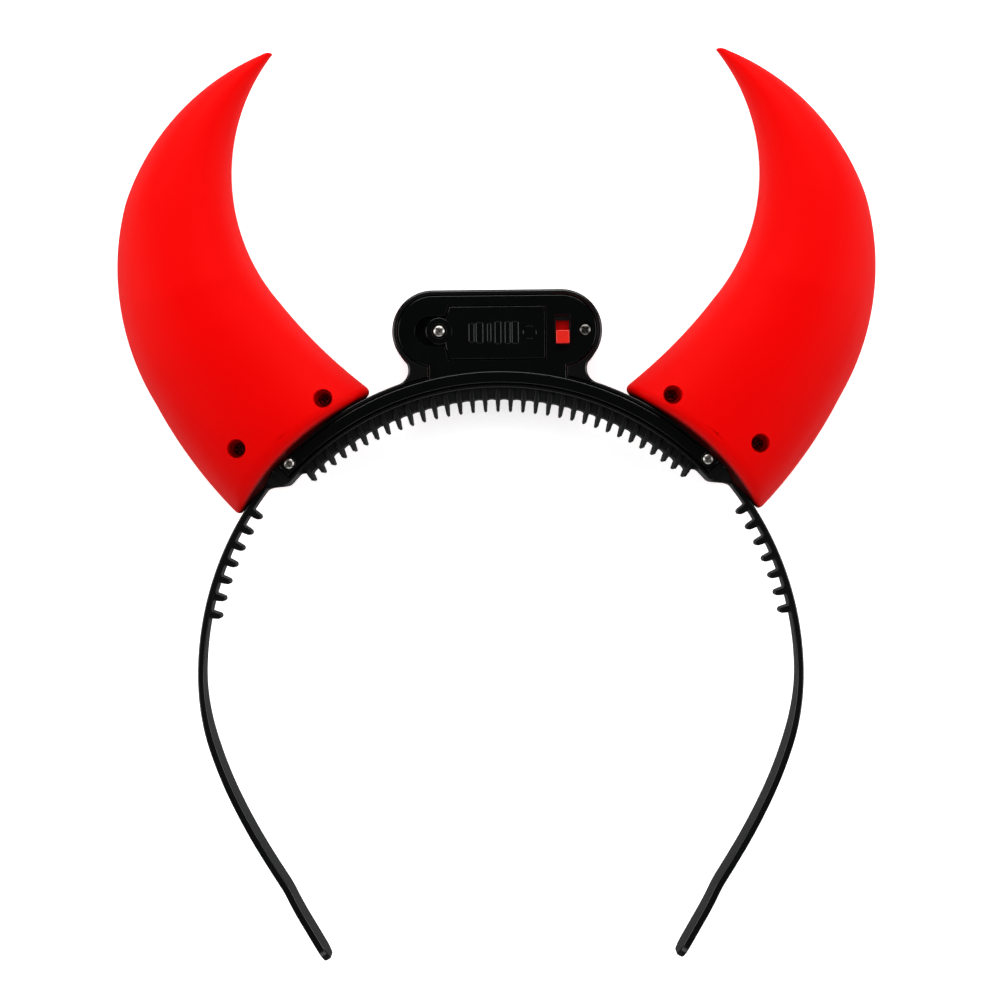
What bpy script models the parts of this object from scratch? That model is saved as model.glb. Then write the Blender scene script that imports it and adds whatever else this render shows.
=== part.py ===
"""Light-up devil horns headband, as an assembly of separate named pieces.

Metres, +Z up. The headband lies on its front, with the battery cover up. X runs across it and +Y
towards the tips of the horns. Plan sizes are measured from the hoop's centre, and heights from the
hoop's middle plane. The last step stands the whole thing on the floor about its own middle.
"""
import math

import bmesh
import bpy
from mathutils import Matrix, Vector

# Fits
GAP = 0.0003            # clearance between pieces that touch
EPS = 0.00005           # small step that keeps two faces of one piece out of one plane
THROUGH = 0.03          # reach of a cutter that goes right through

# Hoop and arms
HOOP_RADIUS = 0.0755    # outer face of the hoop
CROWN_THICK = 0.0052    # thickness of the hollow crown
CROWN_BACK = 0.0070     # back face of the crown above the middle plane
CROWN_FRONT = 0.0050    # front face of the crown below it
CROWN_SPAN = 48.2       # degrees from the top where the crown starts to fall to the arm
CROWN_FALL = 4.2        # degrees that the fall takes
CROWN_STEP = 3.2        # degrees between the crown's sections
FALL_STEPS = 5          # sections in the fall
ARM_RADIUS = HOOP_RADIUS + 0.0025  # outer face of the arm, a little flatter than the crown
ARM_THICK = 0.0016      # arm at its teeth
ARM_WIDTH = 0.0070
ARM_END_THICK = 0.0018  # arm in its lower part
ARM_END_WIDTH = 0.0096
ARM_STEP = 4.2          # degrees between the arm's sections
ARM_TURN = 89.0         # degrees from the top where the arm leaves that circle
ARM_SPREAD_TURN = 20.0  # degrees that the arm turns before it has its lower thickness and width
ARM_TIP_ROUND = 0.0040  # rounding of the flat end, seen from the side
ARM_END_RUN = 0.0121    # straight run to the tip

# Each row is one arc of the arm below the circle. Columns: radius, degrees it turns inward, sections.
ARM_ARCS = ((0.059, 18.5, 5), (0.106, 8.0, 2), (0.155, 5.7, 2), (0.300, 1.7, 1), (0.030, -7.2, 2),
            (0.080, 4.7, 1))

# Comb under the crown
COMB_TEETH = 33
COMB_PITCH = 2.74       # degrees
COMB_LEAN = 0.68        # share of its angle that a tooth leans by
COMB_ROOT_DEPTH = (0.0025, 0.0019)   # roots below the crown's inner face, at the top and at the last tooth
COMB_TIP_DEPTH = (0.0056, 0.0038)    # tips below the crown's inner face, at the top and at the last tooth
TOOTH_ROOT = 0.0012     # tooth width at the root
TOOTH_TIP = 0.0008      # and at the tip
ARCH_RISE = 0.0009      # rise of the rounded gap between two teeth
ARCH_STEPS = 5
COMB_BACK = 0.0045      # back edges of the teeth above the middle plane
COMB_FRONT = 0.0045
WEB_BACK = 0.0040       # the web between the teeth lies lower
WEB_END_TURN = 1.9      # degrees that its fillet runs on past the last tooth
WEB_FRONT = 0.0042
WEB_END_STEPS = 3       # chords in that fillet

# Grip teeth on the arms
GRIP_TEETH = 7
GRIP_START = 57.2       # degrees of the first tooth from the top
GRIP_PITCH = 3.47
GRIP_LENGTH = 0.0028
GRIP_WIDTH = 0.0019
GRIP_FLARE = 0.0005     # how much wider the tooth starts on each side
GRIP_DEPTH = 0.0050     # tooth's size from back to front
GRIP_TOP_DROP = 0.0002  # its back edge below the arm's back edge

# Battery housing
HOUSING_WIDTH = 0.0524
HOUSING_HEIGHT = 0.0204
HOUSING_RISE = 0.0090   # middle of the housing above the hoop
HOUSING_FRONT = 0.0081  # front face below the middle plane
HOUSING_FLOOR = 0.0013  # front wall
NECK_FILLET = 0.0037    # rounding between housing and hoop
RIM = 0.00115           # rim around the cover
LEDGE = 0.00105         # seat that carries the cover
NECK_HALF = (HOUSING_WIDTH - HOUSING_HEIGHT) / 2 + 0.00105  # half width of the cover's neck

# Back cover
COVER_THICK = 0.00155
COVER_DROP = 0.0003     # cover's flat face below the rim
STRIP_INNER = CROWN_THICK - 0.0012  # strip's edges inside the hoop's outer face
STRIP_OUTER = 0.00115
STRIP_PROUD = 0.0002    # strip's face above the rim
STRIP_SPAN = 47.0       # degrees from the top to the strip's square end
PAD_START = 41.0        # degrees where the strip starts to widen
PAD_FULL = 43.5         # degrees where it has its full width
PAD_INSET = 0.0001      # widened end inside the hoop's outer face
GROOVE = 0.0005         # groove beside the strip's inner edge
CHANNEL_SPAN = 39.0     # degrees that the hollow crown reaches
CHANNEL_WALL = 0.0017   # wall on each side of the hollow
CHANNEL_FLOOR = 0.0016

# Battery door, its screw tab and the well under it
DOOR_WIDTH = HOUSING_WIDTH - 0.0287
DOOR_HEIGHT = HOUSING_HEIGHT - 0.0074
DOOR_DROP = 0.0005      # middle of the door below the middle of the housing
DOOR_SLANT = 0.0010     # slanted corners beside the tab
TAB_RADIUS = 0.00335
TAB_REACH = DOOR_WIDTH / 2 + 0.00265  # tab's centre left of the middle
NOTCH_RADIUS = 0.00375  # round notch around the tab
NOTCH_REACH = DOOR_WIDTH / 2 + 0.0049
WELL_WIDTH = DOOR_WIDTH - 0.0019
WELL_HEIGHT = DOOR_HEIGHT - 0.0009  # room for button cells of 11.6 mm
WELL_WALL = 0.0015

# Slide switch
SLOT_WIDTH = 0.0037
SLOT_LENGTH = 0.358 * HOUSING_HEIGHT
SLOT_X = HOUSING_WIDTH / 2 - 0.0099
KNOB_SIDE = 0.0033
KNOB_PROUD = 0.0014     # knob above the cover's flat face
KNOB_END_GAP = 0.0002   # knob to the slot's end
PLATE_WIDTH = 0.0044    # slider plate under the cover
PLATE_THICK = 0.0008
PLATE_REACH = SLOT_LENGTH - KNOB_END_GAP - KNOB_SIDE / 2  # plate on each side of the knob's centre

# Screws
SCREW_HEAD = 0.0030
SCREW_HEAD_HEIGHT = 0.0008
SHANK = 0.0015
PILOT = 0.0021          # hole for a shank
SCREW_FACETS = 10
HOLE_FACETS = 10
ROUND_FACETS = 14       # posts, bosses and counterbores
COUNTERBORE = 0.0036
COUNTERBORE_DEPTH = 0.0008
PAD_SCREW_HEAD = 0.0028
PAD_COUNTERBORE = 0.0033
PAD_SCREW_ANGLE = 45.2  # degrees from the top
PAD_SCREW_INSET = 0.0019  # screw's centre inside the hoop's outer face
COVER_SCREW_X = HOUSING_WIDTH / 2 - 0.00425
POST_RADIUS = 0.0023

# Horns
HORN_RISE = 0.0794      # base to tip, square to the base
HORN_SWEEP = 0.0600     # middle of the base to the tip, along the base
HORN_BASE = 0.0460      # width of the base
HORN_DEPTH = 0.0240     # both halves together
HORN_WALL = 0.0015
HORN_CLEAR = 0.0004     # base to hoop
HORN_FROM_NECK = 0.0064  # base's corner from the housing's neck, along the hoop
HORN_FULL_WIDTH = 0.036  # narrower sections are thinner too
HORN_THINNING = 0.85    # how fast depth follows width there
ROLL_LENGTH = 0.0038    # the base's back and front roll in over this length
ROLL_START = 0.74       # share of the depth left at the base
INNER_CORNER = 0.0034   # rounding of the base's corner beside the housing
OUTER_CORNER = 0.0016   # and of the one on the arm's side
HORN_ALONG = 13         # sections between the roll and the tip
HOLLOW_ALONG = 8        # and in the hollow
HORN_ACROSS = 8         # facets across a section
TIP_WIDTH_SHARE = 0.5   # width of the last section, as a share of the one before the round end
TIP_LENGTH = 0.0011     # round end beyond the last section
HOLLOW_END = 0.90       # share of the length where the hollow stops

# Each row is one arc of a horn's edge, from the base up. Columns: its end along the base as a share of
# HORN_SWEEP, its end's rise as a share of HORN_RISE, its radius as a share of HORN_RISE.
INNER_EDGE = ((-0.344, 0.375, 1.60), (-1.014, 0.973, 0.620))
OUTER_EDGE = ((0.327, 0.402, 1.485), (-0.145, 0.936, 0.817), (-0.987, 0.997, 0.778))

# Each row is one horn screw. Columns: name, place along the base, height above the base.
HORN_SCREWS = (("top", -0.276 * HORN_BASE, 0.0037), ("side", 0.25 * HORN_BASE, 0.0088))
LUG_HALF = 0.0040       # half width of the lugs, and their round ends
LUG_THICK = 0.0025
LUG_ROOT = 0.0040       # lug's root below the horn's base, inside the crown
RECESS = 0.0047         # deep round hole over each horn screw
BOSS_FLOOR = 0.0016     # floor of that hole
BOSS_WALL = 0.0012
FRONT_BOSS = 0.0026     # radius of the front half's boss
HORN_SCREW_DEPTH = 0.3 * HORN_DEPTH  # shank's reach below the middle plane

# Derived places
CROWN_INNER = HOOP_RADIUS - CROWN_THICK
HOUSING_Y = HOOP_RADIUS + HOUSING_RISE
END_RADIUS = HOUSING_HEIGHT / 2
END_X = HOUSING_WIDTH / 2 - END_RADIUS
DOOR_Y = HOUSING_Y - DOOR_DROP
COVER_TOP = CROWN_BACK - COVER_DROP
COVER_BOTTOM = COVER_TOP - COVER_THICK
STRIP_TOP = CROWN_BACK + STRIP_PROUD
SEAT = COVER_BOTTOM - GAP
SKIRT_BOTTOM = HOUSING_FLOOR - HOUSING_FRONT + GAP
BASE_RADIUS = HOOP_RADIUS + HORN_CLEAR
HORN_HALF = HORN_DEPTH / 2


def neck_centre():
    """Return the centre of the right neck fillet, which touches the housing's end and the hoop."""
    near = END_RADIUS + NECK_FILLET
    far = HOOP_RADIUS + NECK_FILLET
    end = Vector((END_X, HOUSING_Y))
    reach = end.length
    along = (far * far - near * near + reach * reach) / (2 * reach)
    aside = math.sqrt(far * far - along * along)
    toward = end.normalized()
    return toward * along + Vector((toward.y, -toward.x)) * aside


NECK = neck_centre()
NECK_ANGLE = math.degrees(math.atan2(NECK.x, NECK.y))
HORN_SPREAD = math.degrees(math.asin(HORN_BASE / 2 / BASE_RADIUS))
HORN_ANGLE = NECK_ANGLE + math.degrees(HORN_FROM_NECK / HOOP_RADIUS) + HORN_SPREAD


# Plan geometry

def polar(angle, radius):
    """Return the plan point at an angle in degrees from the top, positive to the right."""
    turn = math.radians(angle)
    return Vector((radius * math.sin(turn), radius * math.cos(turn)))


def arc(centre, radius, start, stop, steps):
    """Return points on a circle between two angles in degrees, counted from +X."""
    points = []
    for step in range(steps + 1):
        turn = math.radians(start + (stop - start) * step / steps)
        points.append(Vector(centre) + Vector((math.cos(turn), math.sin(turn))) * radius)
    return points


def heading(vector):
    """Return a plan vector's angle in degrees from +X."""
    return math.degrees(math.atan2(vector.y, vector.x))


def mirrored(points):
    """Return the outline's right half followed by its mirror image."""
    return points + [Vector((-p.x, p.y)) for p in reversed(points)]


def ring_outline(inner, outer, span, steps=32):
    """Return the outline of a stretch of ring about the top; outer may be a function of the angle."""
    radius = outer if callable(outer) else lambda angle: outer
    angles = [span - 2 * span * step / steps for step in range(steps + 1)]
    top = [polar(angle, radius(angle)) for angle in angles]
    return top + [polar(angle, inner) for angle in reversed(angles)]


def blend(share):
    """Ease from 0 to 1."""
    share = min(1.0, max(0.0, share))
    return share * share * (3 - 2 * share)


def pad_radius(narrow, wide):
    """Return the radius function of a strip that widens at its two ends."""
    def radius(angle):
        return narrow + (wide - narrow) * blend((abs(angle) - PAD_START) / (PAD_FULL - PAD_START))
    return radius


# Mesh helpers

def new_object(name, mesh):
    """Put a mesh in the scene as a visible object."""
    thing = bpy.data.objects.new(name, mesh)
    bpy.context.scene.collection.objects.link(thing)
    return thing


def to_mesh(name, bm):
    """Write a bmesh to a new mesh, with its faces pointing out."""
    bmesh.ops.recalc_face_normals(bm, faces=bm.faces)
    mesh = bpy.data.meshes.new(name)
    bm.to_mesh(mesh)
    bm.free()
    return mesh


def add_prism(bm, outline, low, high):
    """Add an upright prism on a plan outline."""
    bottom = [bm.verts.new((p[0], p[1], low)) for p in outline]
    top = [bm.verts.new((p[0], p[1], high)) for p in outline]
    count = len(outline)
    for k in range(count):
        bm.faces.new((bottom[k], bottom[(k + 1) % count], top[(k + 1) % count], top[k]))
    bm.faces.new(top)
    bm.faces.new(bottom[::-1])


def prisms(name, parts):
    """Make one object from (outline, low, high) prisms."""
    bm = bmesh.new()
    for outline, low, high in parts:
        add_prism(bm, outline, low, high)
    return new_object(name, to_mesh(name, bm))


def circle(centre, radius, steps=ROUND_FACETS):
    """Return a circle's outline."""
    return arc(centre, radius, 0, 360, steps)[:-1]


def loft(name, rings):
    """Make a closed object from rings of points, with flat ends."""
    bm = bmesh.new()
    rows = [[bm.verts.new(p) for p in ring] for ring in rings]
    count = len(rows[0])
    for here, there in zip(rows, rows[1:]):
        for k in range(count):
            bm.faces.new((here[k], here[(k + 1) % count], there[(k + 1) % count], there[k]))
    bm.faces.new(rows[0])
    bm.faces.new(rows[-1][::-1])
    return new_object(name, to_mesh(name, bm))


def as_tool(thing):
    """Hide an object that only cuts or joins others."""
    thing.hide_render = True
    thing.display_type = "WIRE"
    return thing


def boolean(target, tool, operation):
    """Cut, join or intersect an object with another one."""
    modifier = target.modifiers.new(tool.name, "BOOLEAN")
    modifier.operation = operation
    modifier.object = as_tool(tool)
    modifier.solver = "EXACT"
    return target


def cut(target, tool):
    """Take a tool's shape out of an object."""
    return boolean(target, tool, "DIFFERENCE")


def join(target, tool):
    """Unite a tool's shape with an object."""
    return boolean(target, tool, "UNION")


def material(name, colour, roughness, metallic=0.0):
    """Make a plain Principled material."""
    made = bpy.data.materials.new(name)
    made.use_nodes = True
    shader = made.node_tree.nodes["Principled BSDF"]
    shader.inputs["Base Color"].default_value = (*colour, 1.0)
    shader.inputs["Roughness"].default_value = roughness
    shader.inputs["Metallic"].default_value = metallic
    made.diffuse_color = (*colour, 1.0)
    return made


def dress(thing, finish):
    """Give an object its own copy of a material."""
    own = finish.copy()
    own.name = thing.name + "_finish"
    thing.data.materials.append(own)
    return thing


# Headband shell

def arm_point(angle, inside=0.0):
    """Return a plan point on the right arm's round part, at a distance inside its outer face."""
    start = CROWN_SPAN + CROWN_FALL
    return polar(start, HOOP_RADIUS - ARM_RADIUS) + polar(angle, ARM_RADIUS - inside)


def arm_path():
    """Return the right half's stations: plan point on the outer face, outward direction and angle."""
    crown_steps = round(CROWN_SPAN / CROWN_STEP)
    angles = [CROWN_SPAN * k / crown_steps for k in range(crown_steps)]
    angles += [CROWN_SPAN + CROWN_FALL * k / FALL_STEPS for k in range(FALL_STEPS)]
    fallen = CROWN_SPAN + CROWN_FALL
    arm_steps = round((ARM_TURN - fallen) / ARM_STEP)
    stations = [(polar(angle, HOOP_RADIUS), polar(angle, 1.0), angle) for angle in angles]
    for k in range(arm_steps + 1):
        angle = fallen + (ARM_TURN - fallen) * k / arm_steps
        stations.append((arm_point(angle), polar(angle, 1.0), angle))
    point, turn = arm_point(ARM_TURN), ARM_TURN
    turned = 0.0
    for radius, sweep, steps in ARM_ARCS:
        for _ in range(steps):
            bend = sweep / steps
            point = point + polar(turn + bend / 2 + 90, radius * abs(math.radians(bend)))
            turn += bend
            turned += abs(bend)
            stations.append((point.copy(), polar(turn, 1.0), ARM_TURN + turned))
    stations.append((point + polar(turn + 90, ARM_END_RUN), polar(turn, 1.0), ARM_TURN + turned))
    return stations


def hoop_ring(point, outward, angle, narrow=0.0, thin=1.0):
    """Return the four corners of the hoop's section at one station."""
    fall = blend((angle - CROWN_SPAN) / CROWN_FALL)
    spread = blend((angle - ARM_TURN) / ARM_SPREAD_TURN)
    arm_thick = ARM_THICK + (ARM_END_THICK - ARM_THICK) * spread
    arm_half = (ARM_WIDTH + (ARM_END_WIDTH - ARM_WIDTH) * spread) / 2
    thick = CROWN_THICK + (arm_thick - CROWN_THICK) * fall
    back = CROWN_BACK + (arm_half - CROWN_BACK) * fall
    front = CROWN_FRONT + (arm_half - CROWN_FRONT) * fall
    spare = thick * (1 - thin) / 2
    outer = point - outward * spare
    inner = point - outward * (thick - spare)
    low = narrow - front
    high = back - narrow
    return [(outer.x, outer.y, low), (outer.x, outer.y, high),
            (inner.x, inner.y, high), (inner.x, inner.y, low)]


def arm_end_rings(stations):
    """Return the rings of the last stretch, narrowed to a round end."""
    point, outward, angle = stations[-1]
    along = Vector((outward.y, -outward.x))
    rings = []
    for back_off, thin in ((0.95, 1.0), (0.55, 1.0), (0.25, 1.0), (0.08, 0.9), (0.0, 0.55)):
        place = point - along * ARM_TIP_ROUND * back_off
        narrow = ARM_TIP_ROUND * (1 - math.sqrt(1 - (1 - back_off) ** 2))
        rings.append(hoop_ring(place, outward, angle, narrow, thin))
    return rings


def hoop_solid():
    """Make the crown and both arms as one solid."""
    stations = arm_path()
    right = [hoop_ring(*station) for station in stations[:-1]] + arm_end_rings(stations)
    left = [[(-x, y, z) for x, y, z in ring] for ring in right[1:]]
    return loft("headband_shell", left[::-1] + right)


def housing_outline():
    """Return the outline of the housing and its neck, closed inside the crown."""
    end = Vector((END_X, HOUSING_Y))
    turn = heading(NECK - end)
    fillet_start = heading(end - NECK)
    fillet_stop = heading(-NECK) % 360
    right = arc(end, END_RADIUS, 90, turn, 12)
    right += arc(NECK, NECK_FILLET, fillet_start, fillet_stop, 5)[1:]
    middle = HOOP_RADIUS - CROWN_THICK / 2
    right += [polar(NECK_ANGLE * share, middle) for share in (0.97, 0.6, 0.3)]
    return mirrored(right)


def plate_outline(inset, neck, foot):
    """Return a plate's outline inside the housing: its ends, its neck and an arc at the foot's radius."""
    radius = END_RADIUS - inset
    end = Vector((END_X, HOUSING_Y))
    turn = -math.degrees(math.acos((neck - END_X) / radius))
    spread = math.degrees(math.asin(neck / foot))
    right = arc(end, radius, 90, turn, 12)
    right += [polar(spread * share, foot) for share in (1.0, 0.6, 0.2)]
    return mirrored(right)


def along_comb(values, angle):
    """Return a comb size at an angle, between its values at the top and at the last tooth."""
    last = COMB_PITCH * (COMB_TEETH - 1) / 2
    share = (abs(angle) / last) ** 2
    return values[0] + (values[1] - values[0]) * share


def comb_angles():
    """Return the angles of the comb's teeth."""
    middle = (COMB_TEETH - 1) / 2
    return [COMB_PITCH * (k - middle) for k in range(COMB_TEETH)]


def comb_tooth(angle):
    """Return the plan outline of one tooth and its rib up to the crown."""
    overlap = 0.0004
    root = polar(angle, CROWN_INNER - along_comb(COMB_ROOT_DEPTH, angle))
    lean = polar(angle * COMB_LEAN, 1.0)
    side = Vector((lean.y, -lean.x))
    length = along_comb(COMB_TIP_DEPTH, angle) - along_comb(COMB_ROOT_DEPTH, angle)
    tip = root - lean * length
    top = polar(angle, CROWN_INNER + overlap)
    shoulder = tip + lean * TOOTH_TIP * 0.45
    return [
        top - side * TOOTH_ROOT * 0.38, root - side * TOOTH_ROOT / 2, shoulder - side * TOOTH_TIP / 2,
        tip - side * TOOTH_TIP * 0.22, tip + side * TOOTH_TIP * 0.22,
        shoulder + side * TOOTH_TIP / 2, root + side * TOOTH_ROOT / 2, top + side * TOOTH_ROOT * 0.38]


def web_fillet(hand):
    """Return the points of the web's hollow fillet from its last tooth out to the crown's inner face."""
    last = COMB_PITCH * (COMB_TEETH - 1) / 2
    depth = COMB_ROOT_DEPTH[1]
    points = []
    for step in range(WEB_END_STEPS + 1):
        share = step / WEB_END_STEPS
        left = depth * (1 - math.sin(math.pi / 2 * share))
        points.append(polar(hand * (last + WEB_END_TURN * share), CROWN_INNER - left))
    return points


def comb_web():
    """Return the outline of the web between the teeth, with a rounded gap between each two."""
    overlap = 0.0003
    angles = comb_angles()
    lower = web_fillet(-1)[::-1]
    for here, there in zip(angles, angles[1:]):
        for step in range(ARCH_STEPS):
            share = (step + 0.5) / ARCH_STEPS
            angle = here + (there - here) * share
            drop = ARCH_RISE * (1 - math.sqrt(1 - (2 * share - 1) ** 2))
            lower.append(polar(angle, CROWN_INNER - along_comb(COMB_ROOT_DEPTH, angle) - drop))
    lower += web_fillet(1)
    ends = [angles[-1] + WEB_END_TURN, *angles[::-1], angles[0] - WEB_END_TURN]
    upper = [polar(angle, CROWN_INNER + overlap) for angle in ends]
    return lower + upper


def grip_tooth(angle):
    """Return the plan outline of one grip tooth on the right arm."""
    inward = -polar(angle, 1.0)
    side = Vector((inward.y, -inward.x))
    root = arm_point(angle, ARM_THICK * 0.5)
    face = arm_point(angle, ARM_THICK)
    neck = face + inward * GRIP_FLARE
    tip = face + inward * GRIP_LENGTH
    round_start = tip - inward * GRIP_WIDTH * 0.4
    half = GRIP_WIDTH / 2
    right = [root + side * (half + GRIP_FLARE), face + side * (half + GRIP_FLARE), neck + side * half,
             round_start + side * half * 0.8, tip + side * half * 0.35]
    left = [p - side * 2 * (p - root).dot(side) for p in reversed(right)]
    return right + left


def horn_plan(along, rise):
    """Return the hoop-centred plan point for a point of the right horn's own frame."""
    outward = polar(HORN_ANGLE, 1.0)
    aside = Vector((outward.y, -outward.x))
    return outward * (BASE_RADIUS + rise) + aside * along


def lug_outline(along, rise, grow=0.0):
    """Return the plan outline of a lug that reaches from the crown into the right horn."""
    half = LUG_HALF + grow
    outline = []
    for step in range(9):
        turn = math.pi * step / 8
        outline.append(horn_plan(along + half * math.cos(turn), rise + half * math.sin(turn)))
    outline.append(horn_plan(along - half, -LUG_ROOT))
    outline.append(horn_plan(along + half, -LUG_ROOT))
    return outline


def flipped(outline):
    """Return an outline's mirror image, for the left side."""
    return [Vector((-p.x, p.y)) for p in reversed(outline)]


def both_sides(outlines):
    """Return outlines and their mirror images."""
    outlines = list(outlines)
    return outlines + [flipped(outline) for outline in outlines]


def headband_shell(finish):
    """Build the black moulding: hoop, housing tray, comb, grip teeth and lugs."""
    shell = dress(hoop_solid(), finish)
    join(shell, prisms("housing_block", [(housing_outline(), -HOUSING_FRONT, CROWN_BACK)]))
    join(shell, prisms("comb_web", [(comb_web(), -WEB_FRONT, WEB_BACK)]))
    join(shell, prisms("comb_teeth", [(comb_tooth(a), -COMB_FRONT, COMB_BACK) for a in comb_angles()]))
    grips = both_sides(grip_tooth(GRIP_START + GRIP_PITCH * k) for k in range(GRIP_TEETH))
    grip_top = ARM_WIDTH / 2 - GRIP_TOP_DROP
    join(shell, prisms("grip_teeth", [(g, grip_top - GRIP_DEPTH, grip_top) for g in grips]))
    lugs = both_sides(lug_outline(along, rise) for _, along, rise in HORN_SCREWS)
    join(shell, prisms("horn_lugs", [(lug, -LUG_THICK / 2, LUG_THICK / 2) for lug in lugs]))

    recess_inner = HOOP_RADIUS - STRIP_INNER - GROOVE
    recess_outer = pad_radius(HOOP_RADIUS - STRIP_OUTER + GAP, HOOP_RADIUS + HORN_CLEAR)
    strip_span = STRIP_SPAN + math.degrees(GAP / HOOP_RADIUS)
    high = CROWN_BACK + THROUGH
    strip_recess = ring_outline(recess_inner, recess_outer, strip_span, 46)
    cut(shell, prisms("strip_recess", [(strip_recess, SEAT, high)]))
    foot = HOOP_RADIUS - (STRIP_INNER + STRIP_OUTER) / 2
    cut(shell, prisms("cover_recess", [(plate_outline(RIM, NECK_HALF + GAP, foot), SEAT - EPS, high)]))
    channel_inner = CROWN_INNER + CHANNEL_WALL
    channel_outer = HOOP_RADIUS - CHANNEL_WALL
    channel = ring_outline(channel_inner, channel_outer, CHANNEL_SPAN)
    cut(shell, prisms("crown_hollow", [(channel, CHANNEL_FLOOR - CROWN_FRONT, high)]))
    inside = plate_outline(RIM + LEDGE, NECK_HALF - LEDGE, (channel_inner + channel_outer) / 2)
    cut(shell, prisms("housing_hollow", [(inside, HOUSING_FLOOR - HOUSING_FRONT, high + EPS)]))

    post = circle((COVER_SCREW_X, HOUSING_Y), POST_RADIUS)
    join(shell, prisms("screw_post", [(post, HOUSING_FLOOR / 2 - HOUSING_FRONT, SEAT - EPS)]))
    pad_place = polar(PAD_SCREW_ANGLE, HOOP_RADIUS - PAD_SCREW_INSET)
    holes = [(circle((COVER_SCREW_X, HOUSING_Y), PILOT / 2, HOLE_FACETS), CHANNEL_FLOOR - CROWN_FRONT, high)]
    for hole in both_sides([circle(pad_place, PILOT / 2, HOLE_FACETS)]):
        holes.append((hole, CHANNEL_FLOOR - CROWN_FRONT, high))
    for _, along, rise in HORN_SCREWS:
        for hole in both_sides([circle(horn_plan(along, rise), PILOT / 2, HOLE_FACETS)]):
            holes.append((hole, -THROUGH, THROUGH))
    cut(shell, prisms("shell_screw_holes", holes))
    return shell


# Back cover, battery door and switch

def door_outline(grow):
    """Return the door's plan outline without its tab."""
    half_x = DOOR_WIDTH / 2 + grow
    half_y = DOOR_HEIGHT / 2 + grow
    shoulder = half_y / 2
    link = half_x + DOOR_SLANT
    points = [(half_x, -half_y), (half_x, half_y), (-half_x, half_y), (-link, shoulder), (-link, -shoulder),
              (-half_x, -half_y)]
    return [Vector((x, DOOR_Y + y)) for x, y in points]


def notch_outline(grow):
    """Return the outline of the round-ended notch that the door's tab lies in."""
    left = arc((-NOTCH_REACH, HOUSING_Y), NOTCH_RADIUS + grow, 90, 270, 10)
    end = -DOOR_WIDTH / 2
    low = HOUSING_Y - NOTCH_RADIUS - grow
    high = HOUSING_Y + NOTCH_RADIUS + grow
    return left + [Vector((end, low)), Vector((end, high))]


def rectangle(centre, width, height):
    """Return a rectangle's outline."""
    half = Vector((width / 2, height / 2))
    middle = Vector(centre)
    across = Vector((half.x, -half.y))
    return [middle - half, middle + across, middle + half, middle - across]


def back_cover(finish):
    """Build the cover with its strip, the battery well's walls, the door's seat and its screw post."""
    foot = HOOP_RADIUS - (STRIP_INNER + STRIP_OUTER) / 2
    plate = plate_outline(RIM + GAP, NECK_HALF, foot)
    cover = dress(prisms("back_cover", [(plate, COVER_BOTTOM, COVER_TOP)]), finish)
    strip_outer = pad_radius(HOOP_RADIUS - STRIP_OUTER, HOOP_RADIUS - PAD_INSET)
    strip = ring_outline(HOOP_RADIUS - STRIP_INNER, strip_outer, STRIP_SPAN, 46)
    join(cover, prisms("crown_strip", [(strip, COVER_BOTTOM - EPS, STRIP_TOP)]))
    skirt = rectangle((0, DOOR_Y), WELL_WIDTH + 2 * WELL_WALL, WELL_HEIGHT + 2 * WELL_WALL)
    join(cover, prisms("well_walls", [(skirt, SKIRT_BOTTOM, COVER_BOTTOM + COVER_THICK / 2)]))
    notch_floor = SEAT - 0.0013
    join(cover, prisms("notch_floor", [(notch_outline(0.0009), notch_floor, COVER_BOTTOM + COVER_THICK / 3)]))
    post = circle((-TAB_REACH, HOUSING_Y), POST_RADIUS)
    join(cover, prisms("door_post", [(post, -0.0005, SEAT - EPS)]))
    high = COVER_TOP + THROUGH
    cut(cover, prisms("door_opening", [(door_outline(GAP), SEAT, high)]))
    cut(cover, prisms("tab_notch", [(notch_outline(0.0), SEAT + EPS, high)]))
    well = rectangle((0, DOOR_Y), WELL_WIDTH, WELL_HEIGHT)
    cut(cover, prisms("battery_well", [(well, -THROUGH, high)]))
    slot = rectangle((SLOT_X, HOUSING_Y), SLOT_WIDTH, SLOT_LENGTH)
    cut(cover, prisms("switch_slot", [(slot, -THROUGH, high)]))
    pad_place = polar(PAD_SCREW_ANGLE, HOOP_RADIUS - PAD_SCREW_INSET)
    pads = both_sides([circle(pad_place, PAD_COUNTERBORE / 2)])
    bores = [(circle((COVER_SCREW_X, HOUSING_Y), COUNTERBORE / 2), COVER_TOP - COUNTERBORE_DEPTH, high)]
    bores += [(pad, STRIP_TOP - COUNTERBORE_DEPTH, high) for pad in pads]
    cut(cover, prisms("cover_counterbores", bores))
    holes = [circle((x, HOUSING_Y), PILOT / 2, HOLE_FACETS) for x in (COVER_SCREW_X, -TAB_REACH)]
    holes += both_sides([circle(pad_place, PILOT / 2, HOLE_FACETS)])
    cut(cover, prisms("cover_screw_holes", [(hole, -THROUGH, THROUGH) for hole in holes]))
    return cover


def battery_door(finish):
    """Build the battery door with its screw tab."""
    low = SEAT + GAP
    door = dress(prisms("battery_door", [(door_outline(0.0), low, COVER_TOP)]), finish)
    tab_place = (-TAB_REACH, HOUSING_Y)
    join(door, prisms("door_tab", [(circle(tab_place, TAB_RADIUS, 20), low + EPS, COVER_TOP - EPS)]))
    counterbore = (circle(tab_place, COUNTERBORE / 2), COVER_TOP - COUNTERBORE_DEPTH, THROUGH)
    cut(door, prisms("tab_counterbore", [counterbore]))
    cut(door, prisms("tab_hole", [(circle(tab_place, PILOT / 2, HOLE_FACETS), -THROUGH, THROUGH)]))
    return door


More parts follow.
